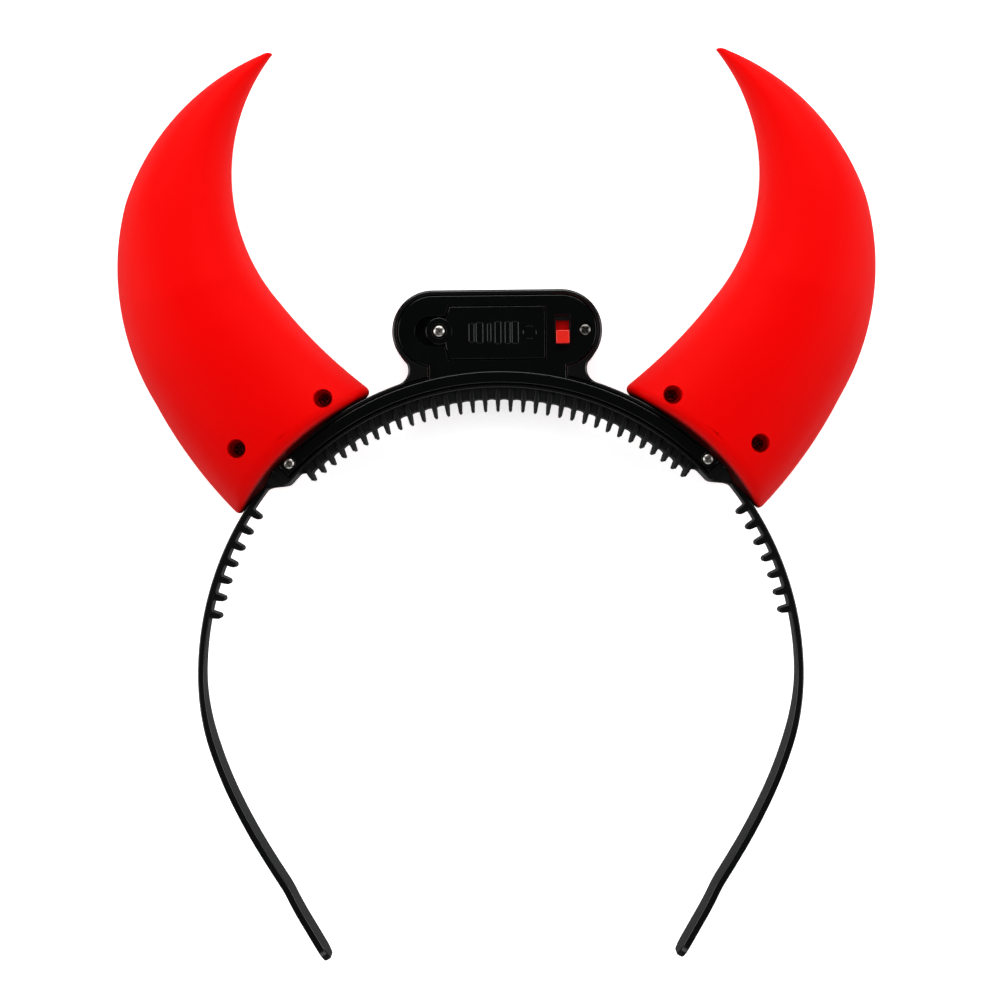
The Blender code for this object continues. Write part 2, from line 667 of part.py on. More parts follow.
def switch_knob(finish):
    """Build the slide knob on its slider plate, at the lower end of its slot."""
    y = HOUSING_Y - SLOT_LENGTH / 2 + KNOB_END_GAP + KNOB_SIDE / 2
    knob = rectangle((SLOT_X, y), KNOB_SIDE, KNOB_SIDE)
    plate_top = COVER_BOTTOM - GAP
    plate = rectangle((SLOT_X, y), PLATE_WIDTH, 2 * PLATE_REACH)
    thing = dress(prisms("switch_knob", [(plate, plate_top - PLATE_THICK, plate_top)]), finish)
    return join(thing, prisms("knob_block", [(knob, plate_top - PLATE_THICK / 2, COVER_TOP + KNOB_PROUD)]))


# Screws

def screw(name, place, seat, head, depth, finish):
    """Build a pan-head screw: its head above the seat, its shank down to a depth."""
    low = seat + GAP
    top = low + SCREW_HEAD_HEIGHT
    profile = ((SHANK / 2 * 0.5, depth), (SHANK / 2, depth + SHANK / 2), (SHANK / 2, low), (head / 2, low),
               (head / 2, low + SCREW_HEAD_HEIGHT * 0.45), (head * 0.32, top))
    rings = []
    for radius, z in profile:
        rings.append([(p.x, p.y, z) for p in circle(place, radius, SCREW_FACETS)])
    return dress(loft(name, rings), finish)


def screws(finish):
    """Build all the screws."""
    seat = COVER_TOP - COUNTERBORE_DEPTH
    screw("door_screw", (-TAB_REACH, HOUSING_Y), seat, SCREW_HEAD, 0.0002, finish)
    screw("cover_screw", (COVER_SCREW_X, HOUSING_Y), seat, SCREW_HEAD, -0.0020, finish)
    pad_place = polar(PAD_SCREW_ANGLE, HOOP_RADIUS - PAD_SCREW_INSET)
    for name, side in (("cover_screw_left", -1), ("cover_screw_right", 1)):
        place = (side * pad_place.x, pad_place.y)
        screw(name, place, STRIP_TOP - COUNTERBORE_DEPTH, PAD_SCREW_HEAD, -0.0015, finish)
    for end, along, rise in HORN_SCREWS:
        for hand, side in (("left", -1), ("right", 1)):
            centre = horn_plan(along, rise)
            place = (side * centre.x, centre.y)
            floor = LUG_THICK / 2 + GAP + BOSS_FLOOR
            screw(f"horn_screw_{hand}_{end}", place, floor, SCREW_HEAD, -HORN_SCREW_DEPTH, finish)


# Horns

def arc_between(start, stop, radius):
    """Return a left-turning arc from one point to another as its centre, start angle, sweep and radius."""
    chord = stop - start
    middle = (start + stop) / 2
    left = Vector((-chord.y, chord.x)).normalized()
    centre = middle + left * math.sqrt(max(0.0, radius * radius - chord.length_squared / 4))
    first = heading(start - centre)
    sweep = (heading(stop - centre) - first) % 360
    return centre, first, sweep, radius


def edge_arcs(base, rows):
    """Return the arcs of one edge of the horn in its own frame."""
    arcs = []
    start = base
    for along, rise, radius in rows:
        stop = Vector((along * HORN_SWEEP, rise * HORN_RISE))
        arcs.append(arc_between(start, stop, radius * HORN_RISE))
        start = stop
    return arcs


def edge_point(arcs, share):
    """Return the point at a share of an edge's length."""
    lengths = [math.radians(sweep) * radius for _, _, sweep, radius in arcs]
    left = share * sum(lengths)
    for (centre, first, sweep, radius), length in zip(arcs, lengths):
        if left <= length or length == lengths[-1]:
            turn = math.radians(first + sweep * left / length)
            return centre + Vector((math.cos(turn), math.sin(turn))) * radius
        left -= length
    return None


BASE_DIP = BASE_RADIUS * (1 - math.cos(math.radians(HORN_SPREAD)))
INNER_ARCS = edge_arcs(Vector((-HORN_BASE / 2, -BASE_DIP)), INNER_EDGE)
OUTER_ARCS = edge_arcs(Vector((HORN_BASE / 2, -BASE_DIP)), OUTER_EDGE)
HORN_LENGTH = sum(math.radians(a[2]) * a[3] for a in INNER_ARCS + OUTER_ARCS) / 2


def horn_shares(start, stop, sections):
    """Return the shares of the horn's length where it has a section, close together in the roll."""
    runs = sorted((0.0, 0.0004, OUTER_CORNER, INNER_CORNER, ROLL_LENGTH))
    near = [start + run / HORN_LENGTH for run in runs]
    rest = [near[-1] + (stop - near[-1]) * k / sections for k in range(1, sections + 1)]
    return near + rest


def base_bow(along):
    """Return how far the hoop's round back stands above the base's chord at a place along the base."""
    along = min(HORN_BASE / 2, abs(along))
    return BASE_DIP - BASE_RADIUS + math.sqrt(BASE_RADIUS ** 2 - along ** 2)


def corner_pull(run, radius):
    """Return how far an edge stands in at a distance from the base, where its corner is rounded."""
    corner = max(0.0, 1 - run / radius)
    return radius * (1 - math.sqrt(1 - corner * corner))


def tip_heading():
    """Return the direction in which the tip points, in the horn's own frame."""
    last = 0.995
    inner = edge_point(INNER_ARCS, 1.0) - edge_point(INNER_ARCS, last)
    outer = edge_point(OUTER_ARCS, 1.0) - edge_point(OUTER_ARCS, last)
    return (inner.normalized() + outer.normalized()).normalized()


def horn_section(share, start, skin, narrow=1.0, beyond=0.0):
    """Return one section's plan points and heights above the middle plane, skin inside the outer face."""
    inner = edge_point(INNER_ARCS, share)
    outer = edge_point(OUTER_ARCS, share)
    width = (outer - inner).length
    run = (share - start) * HORN_LENGTH
    across = (outer - inner).normalized()
    inner = inner + across * (skin + corner_pull(run, INNER_CORNER))
    outer = outer - across * (skin + corner_pull(run, OUTER_CORNER))
    middle = (inner + outer) / 2 + tip_heading() * beyond
    half = (outer - inner) / 2 * narrow
    depth = HORN_HALF * min(1.0, (width / HORN_FULL_WIDTH)) ** HORN_THINNING
    roll = max(0.0, 1 - run / ROLL_LENGTH)
    depth *= ROLL_START + (1 - ROLL_START) * math.sqrt(1 - roll * roll)
    depth = (depth - skin) * narrow
    bow = max(0.0, 1 - share * 2.5) ** 2
    points = []
    heights = []
    for step in range(HORN_ACROSS + 1):
        turn = math.pi * step / HORN_ACROSS
        place = middle - half * math.cos(turn)
        place.y += bow * base_bow(place.x)
        points.append(horn_plan(place.x, place.y))
        heights.append(depth * math.sin(turn))
    return points, heights


def horn_block(name, skin, start, stop, bottom):
    """Make a solid from the horn's outer face, or a skin inside it, down to a flat bottom."""
    sections = HORN_ALONG if skin == 0.0 else HOLLOW_ALONG
    rows = [horn_section(share, start, skin) for share in horn_shares(start, stop, sections)]
    if skin == 0.0:
        rows += [horn_section(stop, start, skin, 0.8, TIP_LENGTH * 0.6),
                 horn_section(stop, start, skin, TIP_WIDTH_SHARE, TIP_LENGTH)]
    bm = bmesh.new()
    grid = []
    for points, heights in rows:
        grid.append([bm.verts.new((p.x, p.y, max(z, bottom))) for p, z in zip(points, heights)])
    for here, there in zip(grid, grid[1:]):
        for k in range(HORN_ACROSS):
            bm.faces.new((here[k], here[k + 1], there[k + 1], there[k]))
    rim = grid[0] + [row[-1] for row in grid[1:-1]] + grid[-1][::-1] + [row[0] for row in grid[-2:0:-1]]
    foot = [bm.verts.new((v.co.x, v.co.y, bottom)) for v in rim]
    count = len(rim)
    for k in range(count):
        bm.faces.new((rim[k], rim[(k + 1) % count], foot[(k + 1) % count], foot[k]))
    bm.faces.new(foot)
    bmesh.ops.remove_doubles(bm, verts=bm.verts, dist=0.000002)
    bmesh.ops.dissolve_degenerate(bm, edges=bm.edges, dist=0.000002)
    return new_object(name, to_mesh(name, bm))


def horn_half(side, finish):
    """Build the right horn's back or front half, both modelled above the middle plane."""
    name = "horn_right_" + side
    half = dress(horn_block(name, 0.0, 0.0, 1.0, GAP / 2), finish)
    wall_share = HORN_WALL / HORN_LENGTH
    hollow = horn_block(name + "_hollow", HORN_WALL, wall_share, HOLLOW_END, -GAP)
    cut(half, hollow)
    boss_radius = RECESS / 2 + BOSS_WALL if side == "back" else FRONT_BOSS
    boss_low = LUG_THICK / 2 + GAP
    bosses = prisms(name + "_bosses", [
        (circle(horn_plan(along, rise), boss_radius), boss_low, THROUGH) for _, along, rise in HORN_SCREWS])
    boolean(bosses, horn_block(name + "_form", 0.0003, 0.0, HOLLOW_END, -GAP), "INTERSECT")
    join(half, bosses)
    lugs = [(lug_outline(along, rise, GAP), -THROUGH, boss_low - EPS) for _, along, rise in HORN_SCREWS]
    cut(half, prisms(name + "_lug_slots", lugs))
    places = [horn_plan(along, rise) for _, along, rise in HORN_SCREWS]
    if side == "back":
        recesses = [(circle(place, RECESS / 2), boss_low + BOSS_FLOOR, THROUGH) for place in places]
        cut(half, prisms(name + "_recesses", recesses))
        holes = [(circle(place, PILOT / 2, HOLE_FACETS), -THROUGH, THROUGH) for place in places]
        cut(half, prisms(name + "_holes", holes))
    else:
        top = HORN_SCREW_DEPTH + GAP
        pilots = [(circle(place, PILOT / 2, HOLE_FACETS), -THROUGH, top) for place in places]
        cut(half, prisms(name + "_pilots", pilots))
    return half


def reflected(thing, name, scale, finish):
    """Return a mirrored copy of a finished shape as a new object."""
    bpy.context.view_layer.update()
    shape = thing.evaluated_get(bpy.context.evaluated_depsgraph_get())
    mesh = bpy.data.meshes.new_from_object(shape)
    mesh.name = name
    mesh.transform(Matrix.Diagonal((*scale, 1.0)))
    if scale[0] * scale[1] * scale[2] < 0:
        mesh.flip_normals()
    mesh.materials.clear()
    return dress(new_object(name, mesh), finish)


def horns(finish):
    """Build both horns from their back and front halves."""
    back = horn_half("back", finish)
    front_form = horn_half("front", finish)
    reflected(back, "horn_left_back", (-1, 1, 1), finish)
    reflected(front_form, "horn_left_front", (-1, 1, -1), finish)
    as_tool(front_form)
    front_form.name = "front_form"
    reflected(front_form, "horn_right_front", (1, 1, -1), finish)


def stand_on_floor():
    """Parent every piece to an empty that sets the whole on the floor about its middle."""
    bpy.context.view_layer.update()
    graph = bpy.context.evaluated_depsgraph_get()
    corners = []
    for thing in bpy.context.scene.objects:
        if thing.type == "MESH" and not thing.hide_render:
            corners += [v.co.copy() for v in thing.evaluated_get(graph).data.vertices]
    low = [min(c[k] for c in corners) for k in range(3)]
    high = [max(c[k] for c in corners) for k in range(3)]
    frame = bpy.data.objects.new("headband", None)
    bpy.context.scene.collection.objects.link(frame)
    for thing in list(bpy.context.scene.objects):
        if thing.type == "MESH":
            thing.parent = frame
    frame.location = (-(low[0] + high[0]) / 2, -(low[1] + high[1]) / 2, -low[2])
    bpy.context.view_layer.update()


def smooth_round_faces():
    """Shade round faces smooth and keep the sharp edges."""
    for thing in bpy.context.scene.objects:
        if thing.type == "MESH":
            thing.data.shade_smooth()
            thing.data.set_sharp_from_angle(angle=math.radians(30))


def main():
    """Build the headband."""
    for thing in list(bpy.data.objects):
        bpy.data.objects.remove(thing, do_unlink=True)
    black = material("black_plastic", (0.012, 0.012, 0.013), 0.32)
    red = material("red_plastic", (0.80, 0.01, 0.008), 0.45)
    knob_red = material("knob_red", (0.75, 0.02, 0.01), 0.4)
    steel = material("screw_steel", (0.62, 0.61, 0.58), 0.35, 1.0)
    headband_shell(black)
    back_cover(black)
    battery_door(black)
    switch_knob(knob_red)
    screws(steel)
    horns(red)
    smooth_round_faces()
    stand_on_floor()


main()
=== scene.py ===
"""Looks of the light-up devil horns headband.

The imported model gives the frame, and each class below builds one sub-assembly over it as fine meshes
with procedural finishes. Metres, +Z up, the battery cover's side up. Plan points are measured from the
hoop's centre and heights from the hoop's middle plane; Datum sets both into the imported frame.
"""
from __future__ import annotations

import logging
import math
from collections.abc import Callable, Sequence
from dataclasses import dataclass, field
from enum import Enum
from functools import partial

import bmesh
import bpy
from mathutils import Matrix, Vector

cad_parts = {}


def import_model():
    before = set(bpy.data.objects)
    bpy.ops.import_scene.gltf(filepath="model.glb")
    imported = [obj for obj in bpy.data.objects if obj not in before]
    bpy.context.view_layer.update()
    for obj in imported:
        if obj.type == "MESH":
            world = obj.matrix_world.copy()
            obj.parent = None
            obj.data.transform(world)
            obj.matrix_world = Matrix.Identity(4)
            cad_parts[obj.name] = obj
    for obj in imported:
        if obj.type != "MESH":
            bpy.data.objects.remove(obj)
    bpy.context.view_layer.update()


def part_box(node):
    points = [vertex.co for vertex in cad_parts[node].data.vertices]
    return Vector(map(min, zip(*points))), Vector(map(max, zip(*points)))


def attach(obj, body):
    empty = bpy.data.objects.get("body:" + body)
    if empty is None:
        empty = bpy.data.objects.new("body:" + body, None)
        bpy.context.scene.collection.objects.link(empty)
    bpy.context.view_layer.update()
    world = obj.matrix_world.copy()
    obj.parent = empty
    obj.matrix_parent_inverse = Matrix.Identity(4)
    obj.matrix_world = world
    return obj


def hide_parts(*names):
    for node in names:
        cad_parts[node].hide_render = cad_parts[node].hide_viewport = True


LOG = logging.getLogger("headband")
Outline = list[Vector]
Colour = tuple[float, float, float]
Thing = bpy.types.Object
Place = tuple[float, float, float]
Arc = tuple[Vector, float, float, float]

SHELL = "headband_shell"
GAP = 0.0003
THROUGH = 0.03
MERGE = 1e-7


class Hand(Enum):
    """The two sides of the headband, as factors on X."""

    LEFT = -1
    RIGHT = 1


class Face(Enum):
    """The battery cover's side and the side behind it, as factors on height."""

    BACK = 1
    FRONT = -1


class Carve(Enum):
    """What a tool does to a piece."""

    CUT = "DIFFERENCE"
    JOIN = "UNION"


# Plan geometry


def polar(angle: float, radius: float) -> Vector:
    """Return a plan point by its angle from the top.

    Args:
        angle: Degrees from +Y, positive to +X.
        radius: Distance from the hoop's centre.

    Returns:
        The plan point.
    """
    turn = math.radians(angle)
    return Vector((radius * math.sin(turn), radius * math.cos(turn)))


def arc(centre: Vector, radius: float, start: float, stop: float, steps: int) -> Outline:
    """Return points along a circle.

    Args:
        centre: The circle's centre.
        radius: The circle's radius.
        start: First angle in degrees from +X.
        stop: Last angle in degrees from +X.
        steps: Number of chords.

    Returns:
        The points, both ends included.
    """
    points = []
    for step in range(steps + 1):
        turn = math.radians(start + (stop - start) * step / steps)
        points.append(Vector(centre) + Vector((math.cos(turn), math.sin(turn))) * radius)
    return points


def circle(centre: Vector, radius: float, steps: int = 48) -> Outline:
    """Return a circle's outline."""
    return arc(centre, radius, 0, 360, steps)[:-1]


def heading(vector: Vector) -> float:
    """Return a plan vector's angle in degrees from +X."""
    return math.degrees(math.atan2(vector.y, vector.x))


def mirrored(points: Outline, shared: bool = False) -> Outline:
    """Return the right half of an outline followed by its mirror image.

    Args:
        points: The right half.
        shared: Whether its last point is on the mirror line and isn't repeated.

    Returns:
        The whole outline.
    """
    return points + [Vector((-p.x, p.y)) for p in reversed(points[:-1] if shared else points)]


def rectangle(centre: Vector, width: float, height: float, corner: float = 0.0, steps: int = 4) -> Outline:
    """Return a rectangle's outline with round corners.

    Args:
        centre: Middle of the rectangle.
        width: Size along X.
        height: Size along Y.
        corner: Corner radius, 0 for square corners.
        steps: Chords in a round corner.

    Returns:
        The outline, counter-clockwise.
    """
    half_x = width / 2 - corner
    half_y = height / 2 - corner
    points: Outline = []
    for start, across, up in ((0, 1, 1), (90, -1, 1), (180, -1, -1), (270, 1, -1)):
        middle = Vector(centre) + Vector((across * half_x, up * half_y))
        points += arc(middle, corner, start, start + 90, steps) if corner > 0 else [middle]
    return points


def ring_outline(inner: float, outer: float | Callable[[float], float], span: float,
                 steps: int = 120) -> Outline:
    """Return the outline of a stretch of ring about the top.

    Args:
        inner: Inner radius.
        outer: Outer radius, or a function of the angle that gives it.
        span: Degrees that it reaches on each side.
        steps: Chords along it.

    Returns:
        The outline.
    """
    radius = outer if callable(outer) else lambda angle: outer
    angles = [span - 2 * span * step / steps for step in range(steps + 1)]
    return [polar(a, radius(a)) for a in angles] + [polar(a, inner) for a in reversed(angles)]


def inset(outline: Sequence[Vector], distance: float, shortest: float = 1e-6,
          least_lean: float = 0.4) -> Outline:
    """Return an outline moved inward, or outward where the distance is negative.

    Args:
        outline: A closed outline.
        distance: How far each edge moves.
        shortest: Where two edges' normals add up to less than this, the first one counts alone.
        least_lean: Keeps sharp corners from moving too far.

    Returns:
        The moved outline with as many points.
    """
    if distance == 0:
        return list(outline)
    count = len(outline)
    area = sum(outline[k - 1].x * outline[k].y - outline[k].x * outline[k - 1].y for k in range(count))
    hand = 1 if area > 0 else -1
    moved = []
    for k in range(count):
        before = (outline[k] - outline[k - 1]).normalized()
        after = (outline[(k + 1) % count] - outline[k]).normalized()
        normal = Vector((-before.y - after.y, before.x + after.x)) * hand
        if normal.length < shortest:
            normal = Vector((-before.y, before.x)) * hand
        normal.normalize()
        lean = max(least_lean, normal.dot(Vector((-before.y, before.x)) * hand))
        moved.append(outline[k] + normal * distance / lean)
    return moved


def blend(share: float) -> float:
    """Ease from 0 to 1."""
    share = min(1.0, max(0.0, share))
    return share * share * (3 - 2 * share)


def mix(low: float, high: float, share: float) -> float:
    """Return the value at a share of the way between two."""
    return low + (high - low) * share


def rounding(radius: float, steps: int) -> list[tuple[float, float]]:
    """Return a rounded edge's points as distances inside its two faces, from the end of its first face on."""
    turns = [math.pi / 2 * k / steps for k in range(steps + 1)]
    return [(radius * (1 - math.sin(t)), radius * (1 - math.cos(t))) for t in turns]


# Mesh building


def new_object(name: str, data: bpy.types.ID) -> Thing:
    """Return a new object of the scene with the data."""
    thing = bpy.data.objects.new(name, data)
    bpy.context.scene.collection.objects.link(thing)
    return thing


@dataclass
class Shape:
    """A closed mesh in the making, in plan coordinates about the hoop's centre."""

    bm: bmesh.types.BMesh = field(default_factory=bmesh.new)

    def loft(self, rings: Sequence[Sequence[Sequence[float]]], caps: bool = True) -> Shape:
        """Add a skin over rings of as many points each.

        Args:
            rings: The rings, from one end to the other.
            caps: Whether the two ends are closed.

        Returns:
            The shape itself.
        """
        rows = [[self.bm.verts.new(p) for p in ring] for ring in rings]
        count = len(rows[0])
        for here, there in zip(rows, rows[1:]):
            for k in range(count):
                self.bm.faces.new((here[k], here[(k + 1) % count], there[(k + 1) % count], there[k]))
        if caps:
            self.bm.faces.new(rows[0][::-1])
            self.bm.faces.new(rows[-1])
        return self

    def slab(self, outline: Outline | Callable[[float], Outline], low: float, high: float, under: float = 0.0,
             over: float = 0.0, steps: int = 4) -> Shape:
        """Add an upright slab with rounded edges.

        Args:
            outline: The plan outline, or a function that gives it moved inward by a distance.
            low: Height of its lower face.
            high: Height of its upper face.
            under: Radius of the lower edge, 0 for a sharp one.
            over: Radius of the upper edge; a negative one flares it, for a tool that cuts a chamfer.
            steps: Chords in a rounded edge.

        Returns:
            The shape itself.
        """
        levels = [(away, low + up) for away, up in rounding(under, steps)] if under else [(0, low)]
        if over > 0:
            levels += [(away, high - down) for away, down in reversed(rounding(over, steps))]
        elif over < 0:
            levels += [(0, high + over), (over, high), (over, high + THROUGH)]
        else:
            levels += [(0, high)]
        moved = outline if callable(outline) else partial(inset, outline)
        return self.loft([[(p.x, p.y, z) for p in moved(away)] for away, z in levels])

    def object(self, name: str) -> Thing:
        """Return the shape as an object with its faces pointing outwards."""
        bmesh.ops.remove_doubles(self.bm, verts=self.bm.verts, dist=MERGE)
        bmesh.ops.recalc_face_normals(self.bm, faces=self.bm.faces)
        mesh = bpy.data.meshes.new(name)
        self.bm.to_mesh(mesh)
        self.bm.free()
        return new_object(name, mesh)


def settle(thing: Thing) -> Thing:
    """Turn an object's evaluated shape into its plain mesh and drop its modifiers."""
    bpy.context.view_layer.update()
    graph = bpy.context.evaluated_depsgraph_get()
    mesh = bpy.data.meshes.new_from_object(thing.evaluated_get(graph), depsgraph=graph)
    old = thing.data
    thing.modifiers.clear()
    thing.data = mesh
    mesh.name = thing.name
    bpy.data.meshes.remove(old)
    return thing


def carve(thing: Thing, tool: Shape, how: Carve = Carve.CUT) -> Thing:
    """Cut or join an object with a tool, and drop the tool.

    Args:
        thing: The object to change.
        tool: The shape that cuts or joins it.
        how: What the tool does.

    Returns:
        The object, with a plain mesh.
    """
    cutter = tool.object(thing.name + "_tool")
    modifier = thing.modifiers.new("carve", "BOOLEAN")
    modifier.operation = how.value
    modifier.solver = "EXACT"
    modifier.object = cutter
    settle(thing)
    mesh = cutter.data
    bpy.data.objects.remove(cutter)
    bpy.data.meshes.remove(mesh)
    return thing


def shade(thing: Thing, angle: float = 34.0) -> Thing:
    """Shade round faces smooth, keep edges sharper than the angle, and weight the normals by area."""
    thing.data.shade_smooth()
    thing.data.set_sharp_from_angle(angle=math.radians(angle))
    weighted = thing.modifiers.new("weighted", "WEIGHTED_NORMAL")
    weighted.keep_sharp = True
    return settle(thing)


@dataclass(frozen=True)
class Datum:
    """Where the hoop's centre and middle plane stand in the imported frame."""

    centre_y: float
    middle: float

    @classmethod
    def read(cls, hoop: Hoop, housing: Housing) -> Datum:
        """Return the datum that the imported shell's box gives."""
        low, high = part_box("headband_shell")
        return cls(high.y - hoop.radius - housing.rise - housing.height / 2, low.z + housing.front)

    def seat(self, thing: Thing) -> Thing:
        """Move an object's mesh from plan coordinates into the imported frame."""
        thing.data.transform(Matrix.Translation((0, self.centre_y, self.middle)))
        return thing


# Node trees


@dataclass(frozen=True)
class Link:
    """A node socket that takes part in Python maths."""

    maker: Nodes
    socket: bpy.types.NodeSocket | None

    def _with(self, operation: str, *values: Link | float) -> Link:
        """Return the result of a Math node on the values."""
        return self.maker.add("ShaderNodeMath", dict(enumerate(values)), operation=operation)

    def __add__(self, other: Link | float) -> Link:
        """Add a value."""
        return self._with("ADD", self, other)

    __radd__ = __add__

    def __sub__(self, other: Link | float) -> Link:
        """Take a value away."""
        return self._with("SUBTRACT", self, other)

    def __rsub__(self, other: Link | float) -> Link:
        """Take this away from a value."""
        return self._with("SUBTRACT", other, self)

    def __mul__(self, other: Link | float) -> Link:
        """Multiply by a value."""
        return self._with("MULTIPLY", self, other)

    __rmul__ = __mul__

    def __truediv__(self, other: Link | float) -> Link:
        """Divide by a value."""
        return self._with("DIVIDE", self, other)

    def clamped(self) -> Link:
        """Keep the value between 0 and 1."""
        return self.maker.add("ShaderNodeClamp", {0: self})


@dataclass(frozen=True)
class Nodes:
    """Adds nodes to one tree."""

    tree: bpy.types.NodeTree

    def add(self, kind: str, values: dict[int | str, object] | None = None, output: int | str = 0,
            **settings: object) -> Link:
        """Add one node.

        Args:
            kind: The node's type name.
            values: Socket name or number to a plain value or a link.
            output: Which output the result is, where the node has any.
            **settings: The node's own settings, set before its sockets; stops are a colour ramp's places and
                colours.

        Returns:
            The chosen output.
        """
        node = self.tree.nodes.new(kind)
        for name, value in settings.items():
            if name == "stops":
                for element, (place, colour) in zip(node.color_ramp.elements, value):
                    element.position = place
                    element.color = (*colour, 1.0)
            else:
                setattr(node, name, value)
        self.feed(node, values or {})
        return Link(self, node.outputs[output] if node.outputs else None)

    def feed(self, node: bpy.types.Node, values: dict[int | str, object]) -> None:
        """Set or link a node's sockets."""
        for name, value in values.items():
            if isinstance(value, Link):
                self.tree.links.new(value.socket, node.inputs[name])
            else:
                node.inputs[name].default_value = value

    def blended(self, share: Link | float, low: Link | tuple, high: Link | tuple) -> Link:
        """Return the colour at a share of the way between two sockets or RGBA values."""
        return self.add("ShaderNodeMix", {0: share, 6: low, 7: high}, output=2, data_type="RGBA")

    def tint(self, share: Link | float, low: Colour, high: Colour) -> Link:
        """Return the colour at a share of the way between two."""
        return self.blended(share, (*low, 1.0), (*high, 1.0))

    def noise(self, coordinates: Link, size: float, detail: float = 2.0) -> Link:
        """Return noise from 0 to 1 with features of about a size in metres."""
        return self.add("ShaderNodeTexNoise", {"Vector": coordinates, "Scale": 1 / size, "Detail": detail})

    def bump(self, height: Link, strength: float, distance: float = 0.0001) -> Link:
        """Return the normal that a height's unevenness gives."""
        return self.add("ShaderNodeBump", {"Strength": strength, "Distance": distance, "Height": height})


@dataclass
class Scatter:
    """A Geometry Nodes tree that sets copies of one object on points.

    Inputs gives the kind of socket of each named input besides the geometry, the copied piece and its finish.
    """

    name: str
    inputs: dict[str, str]

    def __post_init__(self) -> None:
        """Start the tree with its inputs."""
        self.tree = bpy.data.node_groups.new(self.name, "GeometryNodeTree")
        kinds = {"Geometry": "Geometry", "Piece": "Object", **self.inputs, "Finish": "Material"}
        for label, kind in kinds.items():
            self.tree.interface.new_socket(label, in_out="INPUT", socket_type="NodeSocket" + kind)
        self.tree.interface.new_socket("Geometry", in_out="OUTPUT", socket_type="NodeSocketGeometry")
        self.nodes = Nodes(self.tree)
        self.given = {label: self.nodes.add("NodeGroupInput", output=label) for label in kinds}

    def copy(self, points: Link, turn: Link, size: Link) -> None:
        """Set the copies on the points, turned and sized, and end the tree."""
        add = self.nodes.add
        piece = add("GeometryNodeObjectInfo", {"Object": self.given["Piece"]}, output="Geometry")
        copies = add("GeometryNodeInstanceOnPoints", {"Points": points, "Instance": piece, "Rotation": turn,
                                                      "Scale": size})
        real = add("GeometryNodeRealizeInstances", {0: copies})
        dressed = add("GeometryNodeSetMaterial", {"Geometry": real, "Material": self.given["Finish"]})
        add("NodeGroupOutput", {0: dressed})

    def plain(self, name: str, mesh: bpy.types.Mesh, values: dict[str, object]) -> Thing:
        """Return what the tree makes of a mesh as a plain mesh.

        Args:
            name: The new object's name.
            mesh: What the tree starts from.
            values: The named inputs' values.

        Returns:
            The object, without modifiers.
        """
        thing = new_object(name, mesh)
        modifier = thing.modifiers.new("scatter", "NODES")
        modifier.node_group = self.tree
        for item in self.tree.interface.items_tree:
            if item.in_out == "INPUT" and item.name in values:
                modifier[item.identifier] = values[item.name]
        return settle(thing)


@dataclass(frozen=True)
class Finish:
    """What every finish has; a child class adds its pattern."""

    name: str
    slot: str = field(default="black_plastic", kw_only=True)

    def material(self) -> bpy.types.Material:
        """Return the finish as a material, made once."""
        if self.name in bpy.data.materials:
            return bpy.data.materials[self.name]
        made = bpy.data.materials.new(self.name)
        made.use_nodes = True
        shader = made.node_tree.nodes["Principled BSDF"]
        nodes = Nodes(made.node_tree)
        coordinates = nodes.add("ShaderNodeTexCoord", output="Object")
        nodes.feed(shader, self.sockets(nodes, coordinates))
        return made

    def sockets(self, nodes: Nodes, coordinates: Link) -> dict[str, object]:
        """Return the Principled sockets' values and links."""
        raise NotImplementedError


@dataclass(frozen=True)
class MouldedPlastic(Finish):
    """Injection-moulded plastic: slight flow marks, a fine grain and uneven gloss."""

    colour: Colour
    flow: Colour
    roughness: float
    uneven: float = 0.08
    grain: float = 0.05
    specular: float = 0.5

    def sockets(self, nodes: Nodes, coordinates: Link) -> dict[str, object]:
        """Return the Principled sockets' values and links."""
        marks = nodes.noise(coordinates, 0.009, 3.0)
        smears = nodes.noise(coordinates, 0.0035, 4.0)
        grain = nodes.noise(coordinates, 0.00025, 1.0)
        return {
            "Base Color": nodes.tint(marks, self.colour, self.flow),
            "Roughness": (self.roughness + (smears - 0.5) * self.uneven).clamped(),
            "Normal": nodes.bump(grain, self.grain),
            "Specular IOR Level": self.specular,
        }


